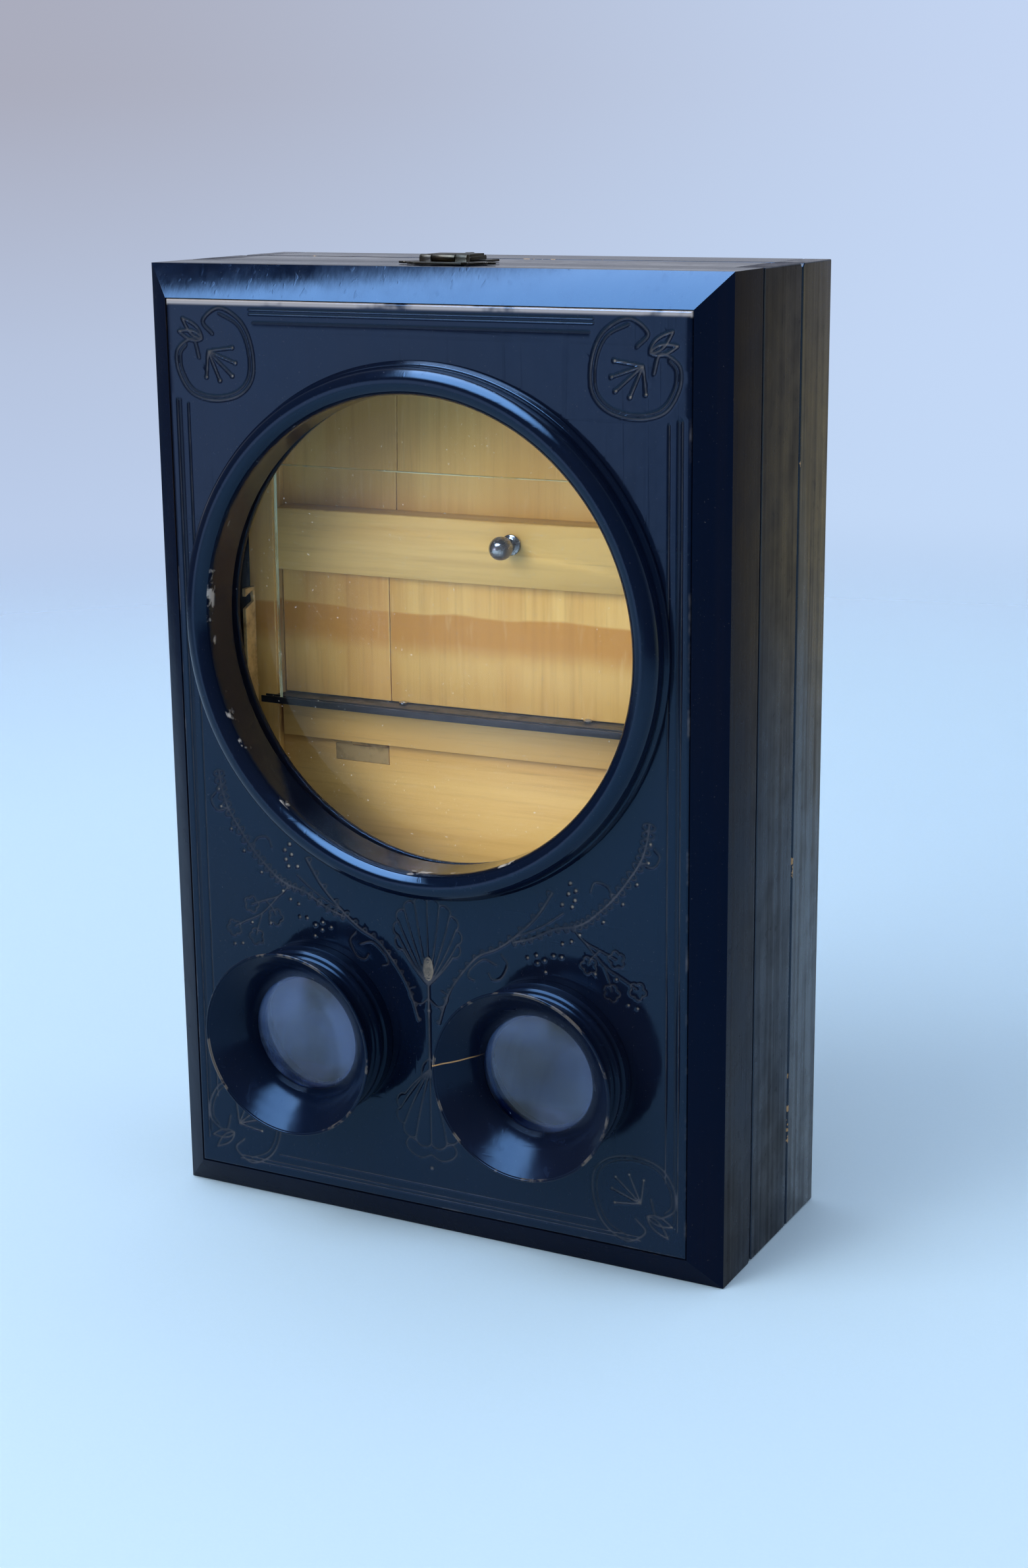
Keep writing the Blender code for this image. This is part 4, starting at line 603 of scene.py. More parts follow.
# The ornament, in shares of the box's height, with x from the middle line and z from the foot.
LEFT_STEM = ((-0.248, 0.480), (-0.245, 0.460), (-0.238, 0.440), (-0.225, 0.420), (-0.210, 0.400),
             (-0.195, 0.385), (-0.180, 0.372), (-0.165, 0.365), (-0.145, 0.360), (-0.120, 0.347), (-0.100, 0.340))
MAIN_STEM = ((-0.143, 0.397), (-0.125, 0.370), (-0.100, 0.345), (-0.080, 0.330), (-0.060, 0.320),
             (-0.045, 0.305), (-0.030, 0.285), (-0.020, 0.265), (-0.012, 0.240))
SIDE_STROKES = (
    ((-0.155, 0.378), (-0.130, 0.360), (-0.100, 0.345)),
    ((-0.085, 0.325), (-0.092, 0.315), (-0.085, 0.300), (-0.075, 0.297), (-0.070, 0.303)),
    ((-0.080, 0.313), (-0.065, 0.317), (-0.050, 0.305), (-0.047, 0.296), (-0.054, 0.293)),
    ((-0.165, 0.365), (-0.178, 0.352), (-0.195, 0.345), (-0.213, 0.338)),
    ((-0.195, 0.345), (-0.186, 0.336), (-0.183, 0.330)),
    ((-0.178, 0.352), (-0.200, 0.330), (-0.222, 0.318), (-0.235, 0.311)),
    ((-0.200, 0.330), (-0.205, 0.316), (-0.208, 0.305)),
    ((-0.238, 0.440), (-0.252, 0.437), (-0.259, 0.448), (-0.253, 0.456)),
    ((-0.210, 0.400), (-0.203, 0.412), (-0.190, 0.414), (-0.185, 0.404)),
)
SIDE_BEADS = ((-0.249, 0.460), (-0.247, 0.441), (-0.235, 0.418), (-0.220, 0.396), (-0.199, 0.375),
              (-0.173, 0.358), (-0.164, 0.350), (-0.154, 0.346), (-0.153, 0.332), (-0.144, 0.332), (-0.134, 0.326),
              (-0.125, 0.330), (-0.126, 0.322), (-0.115, 0.326), (-0.135, 0.314), (-0.213, 0.318),
              (-0.190, 0.320), (-0.226, 0.293), (-0.236, 0.291))
SIDE_BERRIES = ((-0.163, 0.410), (-0.169, 0.403), (-0.161, 0.399), (-0.168, 0.393), (-0.165, 0.386),
                (-0.154, 0.387))
# Leaves' centre and turn in radians.
IVY_LEAVES = ((-0.213, 0.338, 2.6), (-0.183, 0.328, 1.2), (-0.236, 0.309, 3.3), (-0.208, 0.303, 1.9))
CORNER_BAND = ((0.234, 0.932), (0.245, 0.945), (0.225, 0.958), (0.200, 0.945), (0.188, 0.920), (0.188, 0.890),
               (0.205, 0.872), (0.235, 0.866), (0.262, 0.873), (0.276, 0.893), (0.278, 0.912), (0.270, 0.922),
               (0.257, 0.926), (0.251, 0.908))
CORNER_ROOT = (0.240, 0.915)
CORNER_TIPS = ((0.211, 0.919), (0.208, 0.904), (0.212, 0.891), (0.227, 0.886), (0.243, 0.889))
CORNER_LEAVES = ((0.247, 0.927, 0.270, 0.947), (0.247, 0.927, 0.275, 0.934))
BORDER_LINES = (
    ((-0.190, 0.9570), (0.190, 0.9570)), ((-0.190, 0.9525), (0.190, 0.9525)),
    ((-0.186, 0.9440), (0.186, 0.9440)), ((0.2665, 0.862), (0.2665, 0.112)),
    ((0.2800, 0.866), (0.2800, 0.062)), ((0.2765, 0.866), (0.2765, 0.070)),
    ((-0.190, 0.0580), (0.190, 0.0580)), ((-0.240, 0.0450), (0.240, 0.0450)),
    ((-0.240, 0.0485), (0.240, 0.0485)),
)
CENTRE_STEM = ((0.0, 0.279), (0.0, 0.262), (0.0, 0.220), (0.0, 0.188))
CENTRE_SCROLLS = (((0.0, 0.093), (0.012, 0.088), (0.024, 0.092), (0.030, 0.100), (0.026, 0.108),
                   (0.018, 0.106)),
                  ((0.0, 0.265), (0.010, 0.258), (0.020, 0.262), (0.022, 0.272), (0.015, 0.276)),
                  ((0.0, 0.200), (0.008, 0.192), (0.010, 0.180), (0.004, 0.176)))
CENTRE_DOTS = ((0.0, 0.252), (0.0, 0.078))
BUD_Z, BUD_SIZE, BUD_RINGS = 0.297, (0.0050, 0.012), (1.0, 0.72, 0.45, 0.2)
# Half widths of strokes and dots, and the step of the map that they are cut into, in metres.
STROKE, FINE_STROKE, BORDER_STROKE = 0.00068, 0.00050, 0.00034
BEAD, BERRY, DOT = 0.00080, 0.00095, 0.0011
MAP_STEP = 0.0002
CURVE_STEPS = 12


def leaf_outline(root, tip, fatness):
    """A leaf from root to tip: two arcs whose distance from the middle line is a sine of the way
    along."""
    root, tip = np.asarray(root, float), np.asarray(tip, float)
    way = tip - root
    across = np.array((-way[1], way[0])) * fatness
    t = np.linspace(0, 1, 14)[:, None]
    swell = np.sin(math.pi * t ** 0.8)
    return np.vstack((root + way * t + across * swell, (root + way * t - across * swell)[::-1]))


def lobed_leaf(x, z, turn, size=0.010):
    """An ivy-like leaf: a closed curve whose radius swells five times in one turn."""
    t = np.linspace(0, 2 * math.pi, 48)
    radius = size * (0.62 + 0.30 * np.abs(np.cos(2.5 * (t - turn))) ** 0.8)
    return np.stack((x + radius * np.cos(t), z + radius * np.sin(t)), 1)


def frilled(path, lobes, size, side):
    """Small acanthus lobes along one side of a path: half rounds that lean forward, one after
    another."""
    line = smooth_through(path, CURVE_STEPS)
    at = np.linspace(0, len(line) - 2, lobes).astype(int)
    along = line[np.minimum(at + 1, len(line) - 1)] - line[at]
    along /= np.linalg.norm(along, axis=1, keepdims=True)
    out = np.stack((-along[:, 1], along[:, 0]), 1) * side
    t = np.linspace(0, math.pi, 9)[None, :, None]
    length = size * (1.15 - 0.5 * np.linspace(0, 1, lobes))[:, None, None]
    arcs = line[at][:, None] + (along[:, None] * (0.9 - np.cos(t)) * 0.55 + out[:, None] * np.sin(t)) * length
    return list(arcs)


def palmette(x, z, height, width, lobes, up=1):
    """A shell of leaves from one root. Their tips stand on an ellipse, each rib is a parabola that leaves
    the root steeply, and a half round joins each tip to the next."""
    turn = np.radians(np.linspace(212, -32, lobes))
    tips = np.stack((np.cos(turn) * width, height * (0.60 + 0.40 * np.sin(turn))), 1)
    bends = tips * (0.62, 0.50)
    t = np.linspace(0, 1, 16)[None, :, None]
    ribs = 2 * t * (1 - t) * bends[:, None] + t ** 2 * tips[:, None]
    half = ((tips[1:] - tips[:-1]) / 2)[:, None]
    middle = ((tips[1:] + tips[:-1]) / 2)[:, None]
    out = np.stack((-half[..., 1], half[..., 0]), -1)
    around = np.linspace(0, math.pi, 9)[None, :, None]
    scallops = middle - half * np.cos(around) + out * np.sin(around) * 0.8
    return [line * (1, up) + (x, z) for line in (*ribs, *scallops)]


def mirrored(given):
    """The same strokes again on the other side of the middle line."""
    return given + [(points * (-1, 1), half, share) for points, half, share in given]


def smoothed(*paths):
    """The curves through the points of each path."""
    return [smooth_through(path, CURVE_STEPS) for path in paths]


def strokes(lines, half, share):
    """Strokes along lines, or dots at single points, of one half width and one depth share."""
    return [(np.asarray(line, float).reshape(-1, 2), half, share) for line in lines]


def ornament():
    """All the strokes: (points in shares of the height, half width in metres, depth share)."""
    frills = [arc for way in (-1, 1) for arc in frilled(LEFT_STEM, 24, 0.0056, way)]
    frills += frilled(MAIN_STEM, 16, 0.0046, 1)
    band = np.array(CORNER_BAND[2:-2])
    centre = band.mean(0)
    leaves = [leaf_outline(leaf[:2], leaf[2:], 0.16) for leaf in CORNER_LEAVES]
    corner = (strokes(smoothed(CORNER_BAND), STROKE, 0.76)
              + strokes(smoothed(centre + (band - centre) * 0.90), FINE_STROKE, 0.7)
              + strokes([(CORNER_ROOT, tip) for tip in CORNER_TIPS], FINE_STROKE, 0.94)
              + strokes(CORNER_TIPS, BEAD, 1.2)
              + strokes(leaves, FINE_STROKE, 0.95))
    upright = [line for line in BORDER_LINES if line[0][0] == line[1][0]]
    side = (strokes(smoothed(LEFT_STEM, MAIN_STEM), STROKE, 0.78)
            + strokes(smoothed(*SIDE_STROKES), FINE_STROKE, 0.74)
            + strokes(frills, FINE_STROKE, 0.7)
            + strokes(SIDE_BEADS, BEAD, 1.3)
            + strokes(SIDE_BERRIES, BERRY, 1.3)
            + strokes([lobed_leaf(*leaf) for leaf in IVY_LEAVES], FINE_STROKE, 0.72)
            + corner
            + [(points * (1, -1) + (0, 1), half, share) for points, half, share in corner]
            + strokes(smoothed(*CENTRE_SCROLLS), FINE_STROKE, 0.74)
            + strokes(upright, BORDER_STROKE, 0.86))
    t = np.linspace(0, 2 * math.pi, 32)
    wide, high = BUD_SIZE
    bud = [np.stack((wide * share * np.cos(t), BUD_Z + high * share * np.sin(t)), 1)
           for share in BUD_RINGS]
    shells = palmette(0.0, 0.279, 0.090, 0.035, 11) + palmette(0.0, 0.188, 0.082, 0.036, 9, -1)
    middle = (strokes([line for line in BORDER_LINES if line not in upright], BORDER_STROKE, 0.86)
              + strokes(smoothed(CENTRE_STEM), STROKE, 0.84)
              + strokes(shells, FINE_STROKE, 0.76)
              + strokes(bud, STROKE, 1.15)
              + strokes(CENTRE_DOTS, DOT, 1.0))
    return mirrored(side) + middle


def even_points(line, step):
    """Points one step apart along a broken line, by its running length."""
    if len(line) < 2:
        return line
    lengths = np.concatenate(([0.0], np.cumsum(np.linalg.norm(np.diff(line, axis=0), axis=1))))
    at = np.linspace(0, lengths[-1], max(2, int(lengths[-1] / step) + 1))
    return np.stack([np.interp(at, lengths, line[:, k]) for k in range(2)], 1)


def carved_map(depth):
    """A map of groove depth over the panel: at each stroke a dish whose depth falls with the square
    of the distance from its line, and where strokes meet the deepest counts."""
    low = np.array((PANEL_LOW.x, PANEL_LOW.z))
    count = (np.array((PANEL_HIGH.x, PANEL_HIGH.z)) - low) / MAP_STEP
    wide, high = (np.ceil(count).astype(int) + 1).tolist()
    carved = np.zeros(wide * high)
    for line, half, share in ornament():
        points = (even_points(line * HEIGHT, MAP_STEP / 2) - low) / MAP_STEP
        near = int(math.ceil(half / MAP_STEP)) + 1
        shift = np.stack(np.meshgrid(*[np.arange(-near, near + 1)] * 2, indexing="ij"), -1).reshape(-1, 2)
        cells = np.round(points)[:, None].astype(int) + shift
        away = np.linalg.norm(cells - points[:, None], axis=-1) * MAP_STEP / half
        inside = (away < 1) & (cells >= 0).all(-1) & (cells[..., 0] < wide) & (cells[..., 1] < high)
        flat = cells[..., 0] * high + cells[..., 1]
        np.maximum.at(carved, flat[inside], (depth * share * (1 - away ** 2))[inside])
    return carved.reshape(wide, high)


def read_map(carved, x, z):
    """The map's value at each place, weighed between its four nearest cells."""
    u = np.clip((x - PANEL_LOW.x) / MAP_STEP, 0, carved.shape[0] - 1.001)
    v = np.clip((z - PANEL_LOW.z) / MAP_STEP, 0, carved.shape[1] - 1.001)
    i, j = u.astype(int), v.astype(int)
    a, b = u - i, v - j
    low = carved[i, j] * (1 - b) + carved[i, j + 1] * b
    high = carved[i + 1, j] * (1 - b) + carved[i + 1, j + 1] * b
    return low * (1 - a) + high * a


def edge_lines(low, high, cell, easing):
    """Grid lines from low to high, drawn together towards both ends to follow the eased edge."""
    close = easing * (1 - np.cos(np.linspace(0, math.pi / 2, 5)))
    count = int(round((high - low - 2 * easing) / cell))
    middle = np.linspace(low + easing, high - easing, count + 1)
    return np.concatenate((low + close[:-1], middle, high - close[-2::-1]))


def most_of(grid, span, stride, shape):
    """The largest value of a grid within each block of span by span points, one block each stride."""
    most = np.zeros(shape, grid.dtype)
    for a in range(span):
        for b in range(span):
            block = grid[a:a + shape[0] * stride:stride, b:b + shape[1] * stride:stride]
            most = np.maximum(most, block[:shape[0], :shape[1]])
    return most


def bore_holes(x, z, holes, cell):
    """Moves the corners near each hole onto its circle, straight out from its centre, in x and z
    themselves. Returns which cells between the corners stay."""
    kept = np.ones((x.shape[0] - 1, x.shape[1] - 1), bool)
    for hole_x, hole_z, radius in holes:
        away = np.hypot(x - hole_x, z - hole_z)
        near = np.abs(away - radius) < cell * SNAP_SHARE
        scale = np.where(near, radius / np.maximum(away, 1e-9), 1.0)
        x[:] = hole_x + (x - hole_x) * scale
        z[:] = hole_z + (z - hole_z) * scale
        within = np.hypot(x - hole_x, z - hole_z) <= radius + 1e-7
        kept &= ~(within[:-1, :-1] & within[1:, :-1] & within[:-1, 1:] & within[1:, 1:])
    return kept


def front_faces(index, split, plain, parts):
    """The sheet's faces: a split cell in parts each way, and a plain cell in one piece, whose sides
    take in every point of a split cell beside it."""
    i, j = np.nonzero(split)
    a, b = (grid.ravel() for grid in np.meshgrid(np.arange(parts), np.arange(parts), indexing="ij"))
    u, v = i[:, None] * parts + a, j[:, None] * parts + b
    quads = np.stack((index[u, v], index[u + 1, v], index[u + 1, v + 1], index[u, v + 1]), -1)
    faces = [quads.reshape(-1, 4)]
    padded = np.pad(split, 1)
    beside = [padded[1:-1, :-2], padded[2:, 1:-1], padded[1:-1, 2:], padded[:-2, 1:-1]]
    walks = [[(s, 0) for s in range(parts)], [(parts, s) for s in range(parts)],
             [(parts - s, parts) for s in range(parts)], [(0, parts - s) for s in range(parts)]]
    for pattern in range(16):
        finer = [bool(pattern >> k & 1) for k in range(4)]
        wanted = plain.copy()
        for k in range(4):
            wanted &= beside[k] == finer[k]
        i, j = np.nonzero(wanted)
        if len(i):
            steps = [step for k in range(4) for step in (walks[k] if finer[k] else walks[k][:1])]
            faces.append(np.stack([index[i * parts + a, j * parts + b] for a, b in steps], -1))
    return faces


def wall_faces(front, back, kept):
    """The flat back of the kept cells, and a wall from front to back wherever a kept cell ends."""
    i, j = np.nonzero(kept)
    faces = [np.stack((back[i, j], back[i, j + 1], back[i + 1, j + 1], back[i + 1, j]), -1)]
    for step_i, step_j in ((1, 0), (0, 1)):
        grown = np.pad(kept, ((step_i, step_i), (step_j, step_j)))
        rows, columns = grown.shape
        i, j = np.nonzero(grown[step_i:, step_j:] != grown[:rows - step_i, :columns - step_j])
        faces.append(np.stack((front[i, j], front[i + step_j, j + step_i],
                               back[i + step_j, j + step_i], back[i, j]), -1))
    return faces


# A groove shallower than the first share of the full depth leaves the face plain, corners closer to
# a circle than the second share of a cell are moved onto it, and the panel's edge is rubbed as far
# in as the third number times its easing.
PLAIN_SHARE, SNAP_SHARE, RUBBED_REACH = 0.03, 0.7072, 1.6


def panel_shells(cell, parts, depth, easing, holes):
    """The panel: a sheet over (x, z) whose depth is the carved map plus a quarter-round fall at the
    outer edge, cells with a groove split in parts each way, holes snapped to their circles, then
    walls and back. Returns points, faces, the gilt value and the edge value of each point."""
    carved = carved_map(depth)
    lines_x = edge_lines(PANEL_LOW.x, PANEL_HIGH.x, cell, easing)
    lines_z = edge_lines(PANEL_LOW.z, PANEL_HIGH.z, cell, easing)
    nx, nz = len(lines_x) - 1, len(lines_z) - 1
    x = np.interp(np.arange(nx * parts + 1) / parts, np.arange(nx + 1), lines_x)
    z = np.interp(np.arange(nz * parts + 1) / parts, np.arange(nz + 1), lines_z)
    x, z = np.meshgrid(x, z, indexing="ij")
    groove = np.maximum(read_map(carved, x, z) - depth * PLAIN_SHARE, 0.0)
    corner = (slice(None, None, parts), slice(None, None, parts))
    kept = bore_holes(x[corner], z[corner], holes, cell)
    deepest = most_of(groove, parts + 1, parts, kept.shape)
    cut_off = most_of(np.pad(~kept, 1, constant_values=True), 3, 1, kept.shape).astype(bool)
    split = (deepest > 0) & kept & ~cut_off
    edge = np.minimum(np.minimum(x - PANEL_LOW.x, PANEL_HIGH.x - x),
                      np.minimum(z - PANEL_LOW.z, PANEL_HIGH.z - z))
    lack = np.clip(easing - edge, 0, easing)
    fall = easing - np.sqrt(easing ** 2 - lack ** 2)
    index = np.arange(x.size).reshape(x.shape)
    faces = front_faces(index, split, kept & ~split, parts)
    faces += wall_faces(index[corner], index[corner] + x.size, kept)
    points = np.vstack([np.stack((x, y, z), -1).reshape(-1, 3)
                        for y in (FACE + groove + fall, np.full(x.shape, PANEL_HIGH.y))])
    gilt = np.concatenate(((groove / depth).ravel(), np.zeros(x.size)))
    rim = np.clip(1 - edge / (easing * RUBBED_REACH), 0, 1).ravel()
    rim = np.concatenate((rim, np.zeros(x.size)))
    used = np.unique(np.concatenate([group.ravel() for group in faces]))
    place = np.zeros(len(points), int)
    place[used] = np.arange(len(used))
    return points[used], [place[group] for group in faces], gilt[used], rim[used]


# Profiles of the turned pieces: curves in shares of the whole, and sizes in metres.
RING_SHOULDER_SHARES = ((0.0, 1.0), (0.30, 0.97), (0.55, 0.80), (0.80, 0.62), (1.0, 0.45))
RING_STEP_WIDTH, RING_STEP_REACH, RING_BEAD = 0.0014, 0.0028, 0.0047
SEAT_GAP = 0.0003
# The ring's spigot in the panel's bore, the step round the bore, and the lens with its keeper.
SPIGOT_INSET, BORE_PLAY = 0.0015, 0.0004
SEAT_FRONT, SEAT_BACK, SEAT_PLAY = 0.0012, 0.0083, 0.00005
WALL_FRONT, WALL_BACK = 0.0006, 0.0012
LENS_EDGE, EYE_LENS_EDGE, LENS_BEVEL = 0.0035, 0.0025, 0.0003
KEEPER_WIDTH, KEEPER_EASING = 0.0030, 0.0006
# An eyecup's spigot wall, throat, lens seat and rim.
CUP_WALL, THROAT_INSET, THROAT_DEPTH, THROAT_BEVEL = 0.0016, 0.0011, 0.0070, 0.0002
EYE_SEAT_FRONT, CUP_RIM, CUP_RIM_ROUND = 0.0009, 0.0008, 0.0004
# The knob's radii of flange, neck and shank, and where its foot ends, tapers and meets the neck.
KNOB_FLANGE, KNOB_NECK, KNOB_SHANK = 0.0036, 0.0016, 0.0014
KNOB_FOOT, KNOB_TAPER, KNOB_NECK_AT = 0.0006, 0.0011, 0.0019
KNOB_TAPER_SHARE, KNOB_EASING, KNOB_SIDES = 0.62, 0.00025, 64
CUP_FLARE_OUTSIDE = ((0.998, 0.965), (0.962, 0.890), (0.900, 0.790), (0.866, 0.690), (0.853, 0.600),
                     (0.853, 0.530), (0.861, 0.478))
CUP_BEAD = ((0.880, 0.452), (0.910, 0.432), (0.930, 0.395), (0.934, 0.350), (0.925, 0.305), (0.900, 0.273))
CUP_FOOT = ((0.872, 0.262), (0.872, 0.240), (0.905, 0.224), (0.940, 0.196), (0.940, 0.014))
CUP_FLARE_INSIDE = ((0.0, 0.0), (0.020, 0.060), (0.060, 0.160), (0.130, 0.270), (0.220, 0.380), (0.340, 0.505),
                    (0.480, 0.630), (0.620, 0.735), (0.750, 0.830), (0.880, 0.915), (0.975, 0.975))


def ring_profile():
    """The ring's section: spigot, lip, half-round bead, shouldered step and flat back, as (radius,
    depth)."""
    lip = RING_RADIUS - RING_STEP_WIDTH - RING_BEAD * 2
    centre = lip + RING_BEAD
    shoulder = -(RING_REACH - RING_BEAD)
    turn = np.linspace(math.pi, 0, 41)
    bead = np.stack((centre + RING_BEAD * np.cos(turn), shoulder - RING_BEAD * np.sin(turn)), 1)
    shares = smooth_through(RING_SHOULDER_SHARES, 5)
    step = np.stack((centre + RING_BEAD + shares[:, 0] * RING_STEP_WIDTH,
                     -shares[:, 1] * RING_STEP_REACH), 1)
    spigot, end = LENS_RADIUS - SPIGOT_INSET, RING_HIGH.y - FACE
    rest = np.array(((RING_RADIUS, -SEAT_GAP), (spigot, -SEAT_GAP), (spigot, end), (lip, end)))
    wall = np.stack((np.full(6, lip), np.linspace(end - WALL_BACK, shoulder + WALL_FRONT, 6)), 1)
    return np.vstack((wall, bead, step, rest))


def cup_profile():
    """An eyecup's section: rounded rim, waisted outside, bead, foot, spigot, lens seat, throat and
    flare."""
    bore = EYE_LENS_RADIUS + SEAT_GAP
    spigot = bore + CUP_WALL
    throat = EYE_LENS_RADIUS - THROAT_INSET
    seat, end = -THROAT_DEPTH + EYE_SEAT_FRONT, CUP_HIGH.y - FACE
    inner_rim = CUP_RADIUS - CUP_RIM
    scale = np.array((CUP_RADIUS, -CUP_REACH))
    parts = [smooth_through(shares, 8) * scale for shares in (CUP_FLARE_OUTSIDE, CUP_BEAD)]
    foot = np.array(CUP_FOOT) * scale
    hidden = np.array(((spigot, -SEAT_GAP), (spigot, end), (bore, end), (bore, seat),
                       (throat + THROAT_BEVEL, seat), (throat, seat - THROAT_BEVEL)))
    flare = smooth_through(CUP_FLARE_INSIDE, 8)
    inside = np.stack((throat + flare[:, 0] * (inner_rim - throat),
                       -THROAT_DEPTH + flare[:, 1] * (THROAT_DEPTH - CUP_REACH)), 1)
    turn = np.linspace(math.pi * 0.92, 0.05, 9)
    middle = (inner_rim + CUP_RADIUS) / 2
    rim = np.stack((middle + np.cos(turn) * (CUP_RADIUS - inner_rim) / 2,
                    -CUP_REACH + CUP_RIM_ROUND - np.sin(turn) * CUP_RIM_ROUND), 1)
    return np.vstack((rim, *parts, foot, hidden, inside))


def lens_profile(radius, front, back, edge):
    """A biconvex lens's section, pole to pole: two arcs of one circle and a narrow ground edge with
    small bevels. The arcs' rise comes from the whole thickness."""
    rise = (back - front - edge) / 2
    curve = (radius ** 2 + rise ** 2) / (2 * rise)
    r = radius * np.sin(np.linspace(0, math.pi / 2, 40))
    r = r[r < radius - LENS_BEVEL]
    fall = curve - np.sqrt(curve ** 2 - r ** 2)
    middle = (front + back) / 2
    flat = edge / 2 - LENS_BEVEL
    rim = np.array(((radius, middle - flat), (radius, middle), (radius, middle + flat)))
    return np.vstack((np.stack((r, front + fall), 1), rim, np.stack((r, back - fall), 1)[::-1]))


def rub_and_highlight_rings(profile, sides, low, high, front):
    """One value for each point of a turned piece: one where the profile's radius is between low and high
    and its depth is in front of the given one, and nought elsewhere."""
    near = (profile[:, 0] > low) & (profile[:, 0] < high) & (profile[:, 1] < front)
    return np.repeat(near.astype(float), sides)


def knob_profile():
    """The ball knob's section, from the tip of its shank to the tip of its ball, as (radius,
    depth)."""
    front, back = KNOB_LOW.y, KNOB_HIGH.y
    foot = HEAD_RAIL_FRONT - SEAT_GAP
    ball = (KNOB_HIGH.x - KNOB_LOW.x) / 2
    centre = front + ball
    start = math.asin(KNOB_NECK / ball)
    turn = np.linspace(start, math.pi, 28)
    sphere = np.stack((ball * np.sin(turn), centre + ball * np.cos(turn)), 1)
    corners = ((0.0, back), (KNOB_SHANK, back), (KNOB_SHANK, foot), (KNOB_FLANGE, foot),
               (KNOB_FLANGE, foot - KNOB_FOOT), (KNOB_FLANGE * KNOB_TAPER_SHARE, foot - KNOB_TAPER),
               (KNOB_NECK, foot - KNOB_NECK_AT), (KNOB_NECK, centre + ball * math.cos(start)))
    body = eased_loop(corners, KNOB_EASING, 3)[4:-4]
    return np.vstack(((0.0, back), body, sphere[:-1], (0.0, front)))


# The pieces, and the operators that make them.
# Node, finish, edge finish, slot, width of the eased edge in metres.
CASE_PIECES = (
    [("lens_board_moulding", "chamfer_lacquer", "case_edge", "lacquer", 0.00050)]
    # Top and bottom walls take the lit copy of the lacquer, the side walls shaded or lit copies: painted light and
    # shade.
    + [(f"{tray}_wall_{side}", look, edge, "lacquer", 0.00050)
       for tray, side_look, edge in (("frame", "shaded_case_lacquer", "rail_lacquer"),
                                     ("base", "lit_rear_lacquer", "case_edge"))
       for side, look in (("left", side_look), ("right", side_look), ("top", "lit_top_lacquer"),
                          ("bottom", "lit_top_lacquer"))]
    + [("base_board", "inner_lacquer", "case_edge", "lacquer", 0.00040),
       ("prop_strut", "rail_lacquer", "case_edge", "lacquer", 0.00050),
       ("prop_rack", "rail_lacquer", "case_edge", "lacquer", 0.00020)]
)
# Faces with a finish of their own, by way, limit and finish: the moulding's chamfers but the upper
# one, then its flat sides, both in darker copies of its lacquer as painted shade, and the narrow sides
# of the glass plate.
LOOKS = {
    "lens_board_moulding": (((0, 0, -1), 0.4, "dark_lacquer"), ((-1, 0, 0), 0.4, "dark_lacquer"),
                            ((1, 0, 0), 0.4, "dark_lacquer"), ((-1, 0, 0), 0.9, "front_side_lacquer"),
                            ((1, 0, 0), 0.9, "front_side_lacquer")),
    "glass_plate": (((-1, 0, 0), 0.9, "plate_edge"), ((1, 0, 0), 0.9, "plate_edge"),
                    ((0, 0, 1), 0.9, "plate_edge")),
}
EASEL_PIECES = (
    ("floor_board_left", "floor_wood", "cut_wood", "blond", 0.00040),
    ("floor_board_right", "floor_wood", "cut_wood", "blond", 0.00040),
    ("slide_rail_left", "upright_wood", "cut_wood", "blond", 0.00040),
    ("slide_rail_right", "upright_wood", "cut_wood", "blond", 0.00040),
    ("carriage_board", "cross_wood", "cut_wood", "blond", 0.00040),
    ("easel_foot_rail", "cross_wood", "cut_wood", "blond", 0.00050),
    ("easel_head_rail", "cross_wood", "cut_wood", "blond", 0.00060),
    ("easel_board_left", "upright_wood", "cut_wood", "blond", 0.00030),
    ("easel_board_right", "upright_wood", "cut_wood", "blond", 0.00030),
    ("card_ledge", "black_japan", "black_japan", "black_metal", 0.00015),
    ("glass_plate", "plate_glass", "plate_edge", "glass", 0.00025),
)
FITTINGS = (
    ("clasp_plate", "clasp_bronze", "clasp_bronze", "bronze", 0.00022),
    ("hasp", "clasp_bronze", "clasp_bronze", "bronze", 0.00022),
    ("catch_plate", "clasp_bronze", "clasp_bronze", "bronze", 0.00022),
    ("stay_left", "hinge_brass", "hinge_brass", "brass", 0.00025),
    ("stay_right", "hinge_brass", "hinge_brass", "brass", 0.00025),
    ("prop_bracket_left", "hinge_brass", "hinge_brass", "brass", 0.00030),
    ("prop_bracket_right", "hinge_brass", "hinge_brass", "brass", 0.00030),
)
# CAD nodes that keep their own mesh and only take a finish.
DRESSED = {"hinge": "hinge_brass", "stay_pivot": "hinge_brass", "stay_stud": "hinge_brass",
           "ledge_screw": "bright_steel", "eyepiece_retainer": "rail_lacquer"}


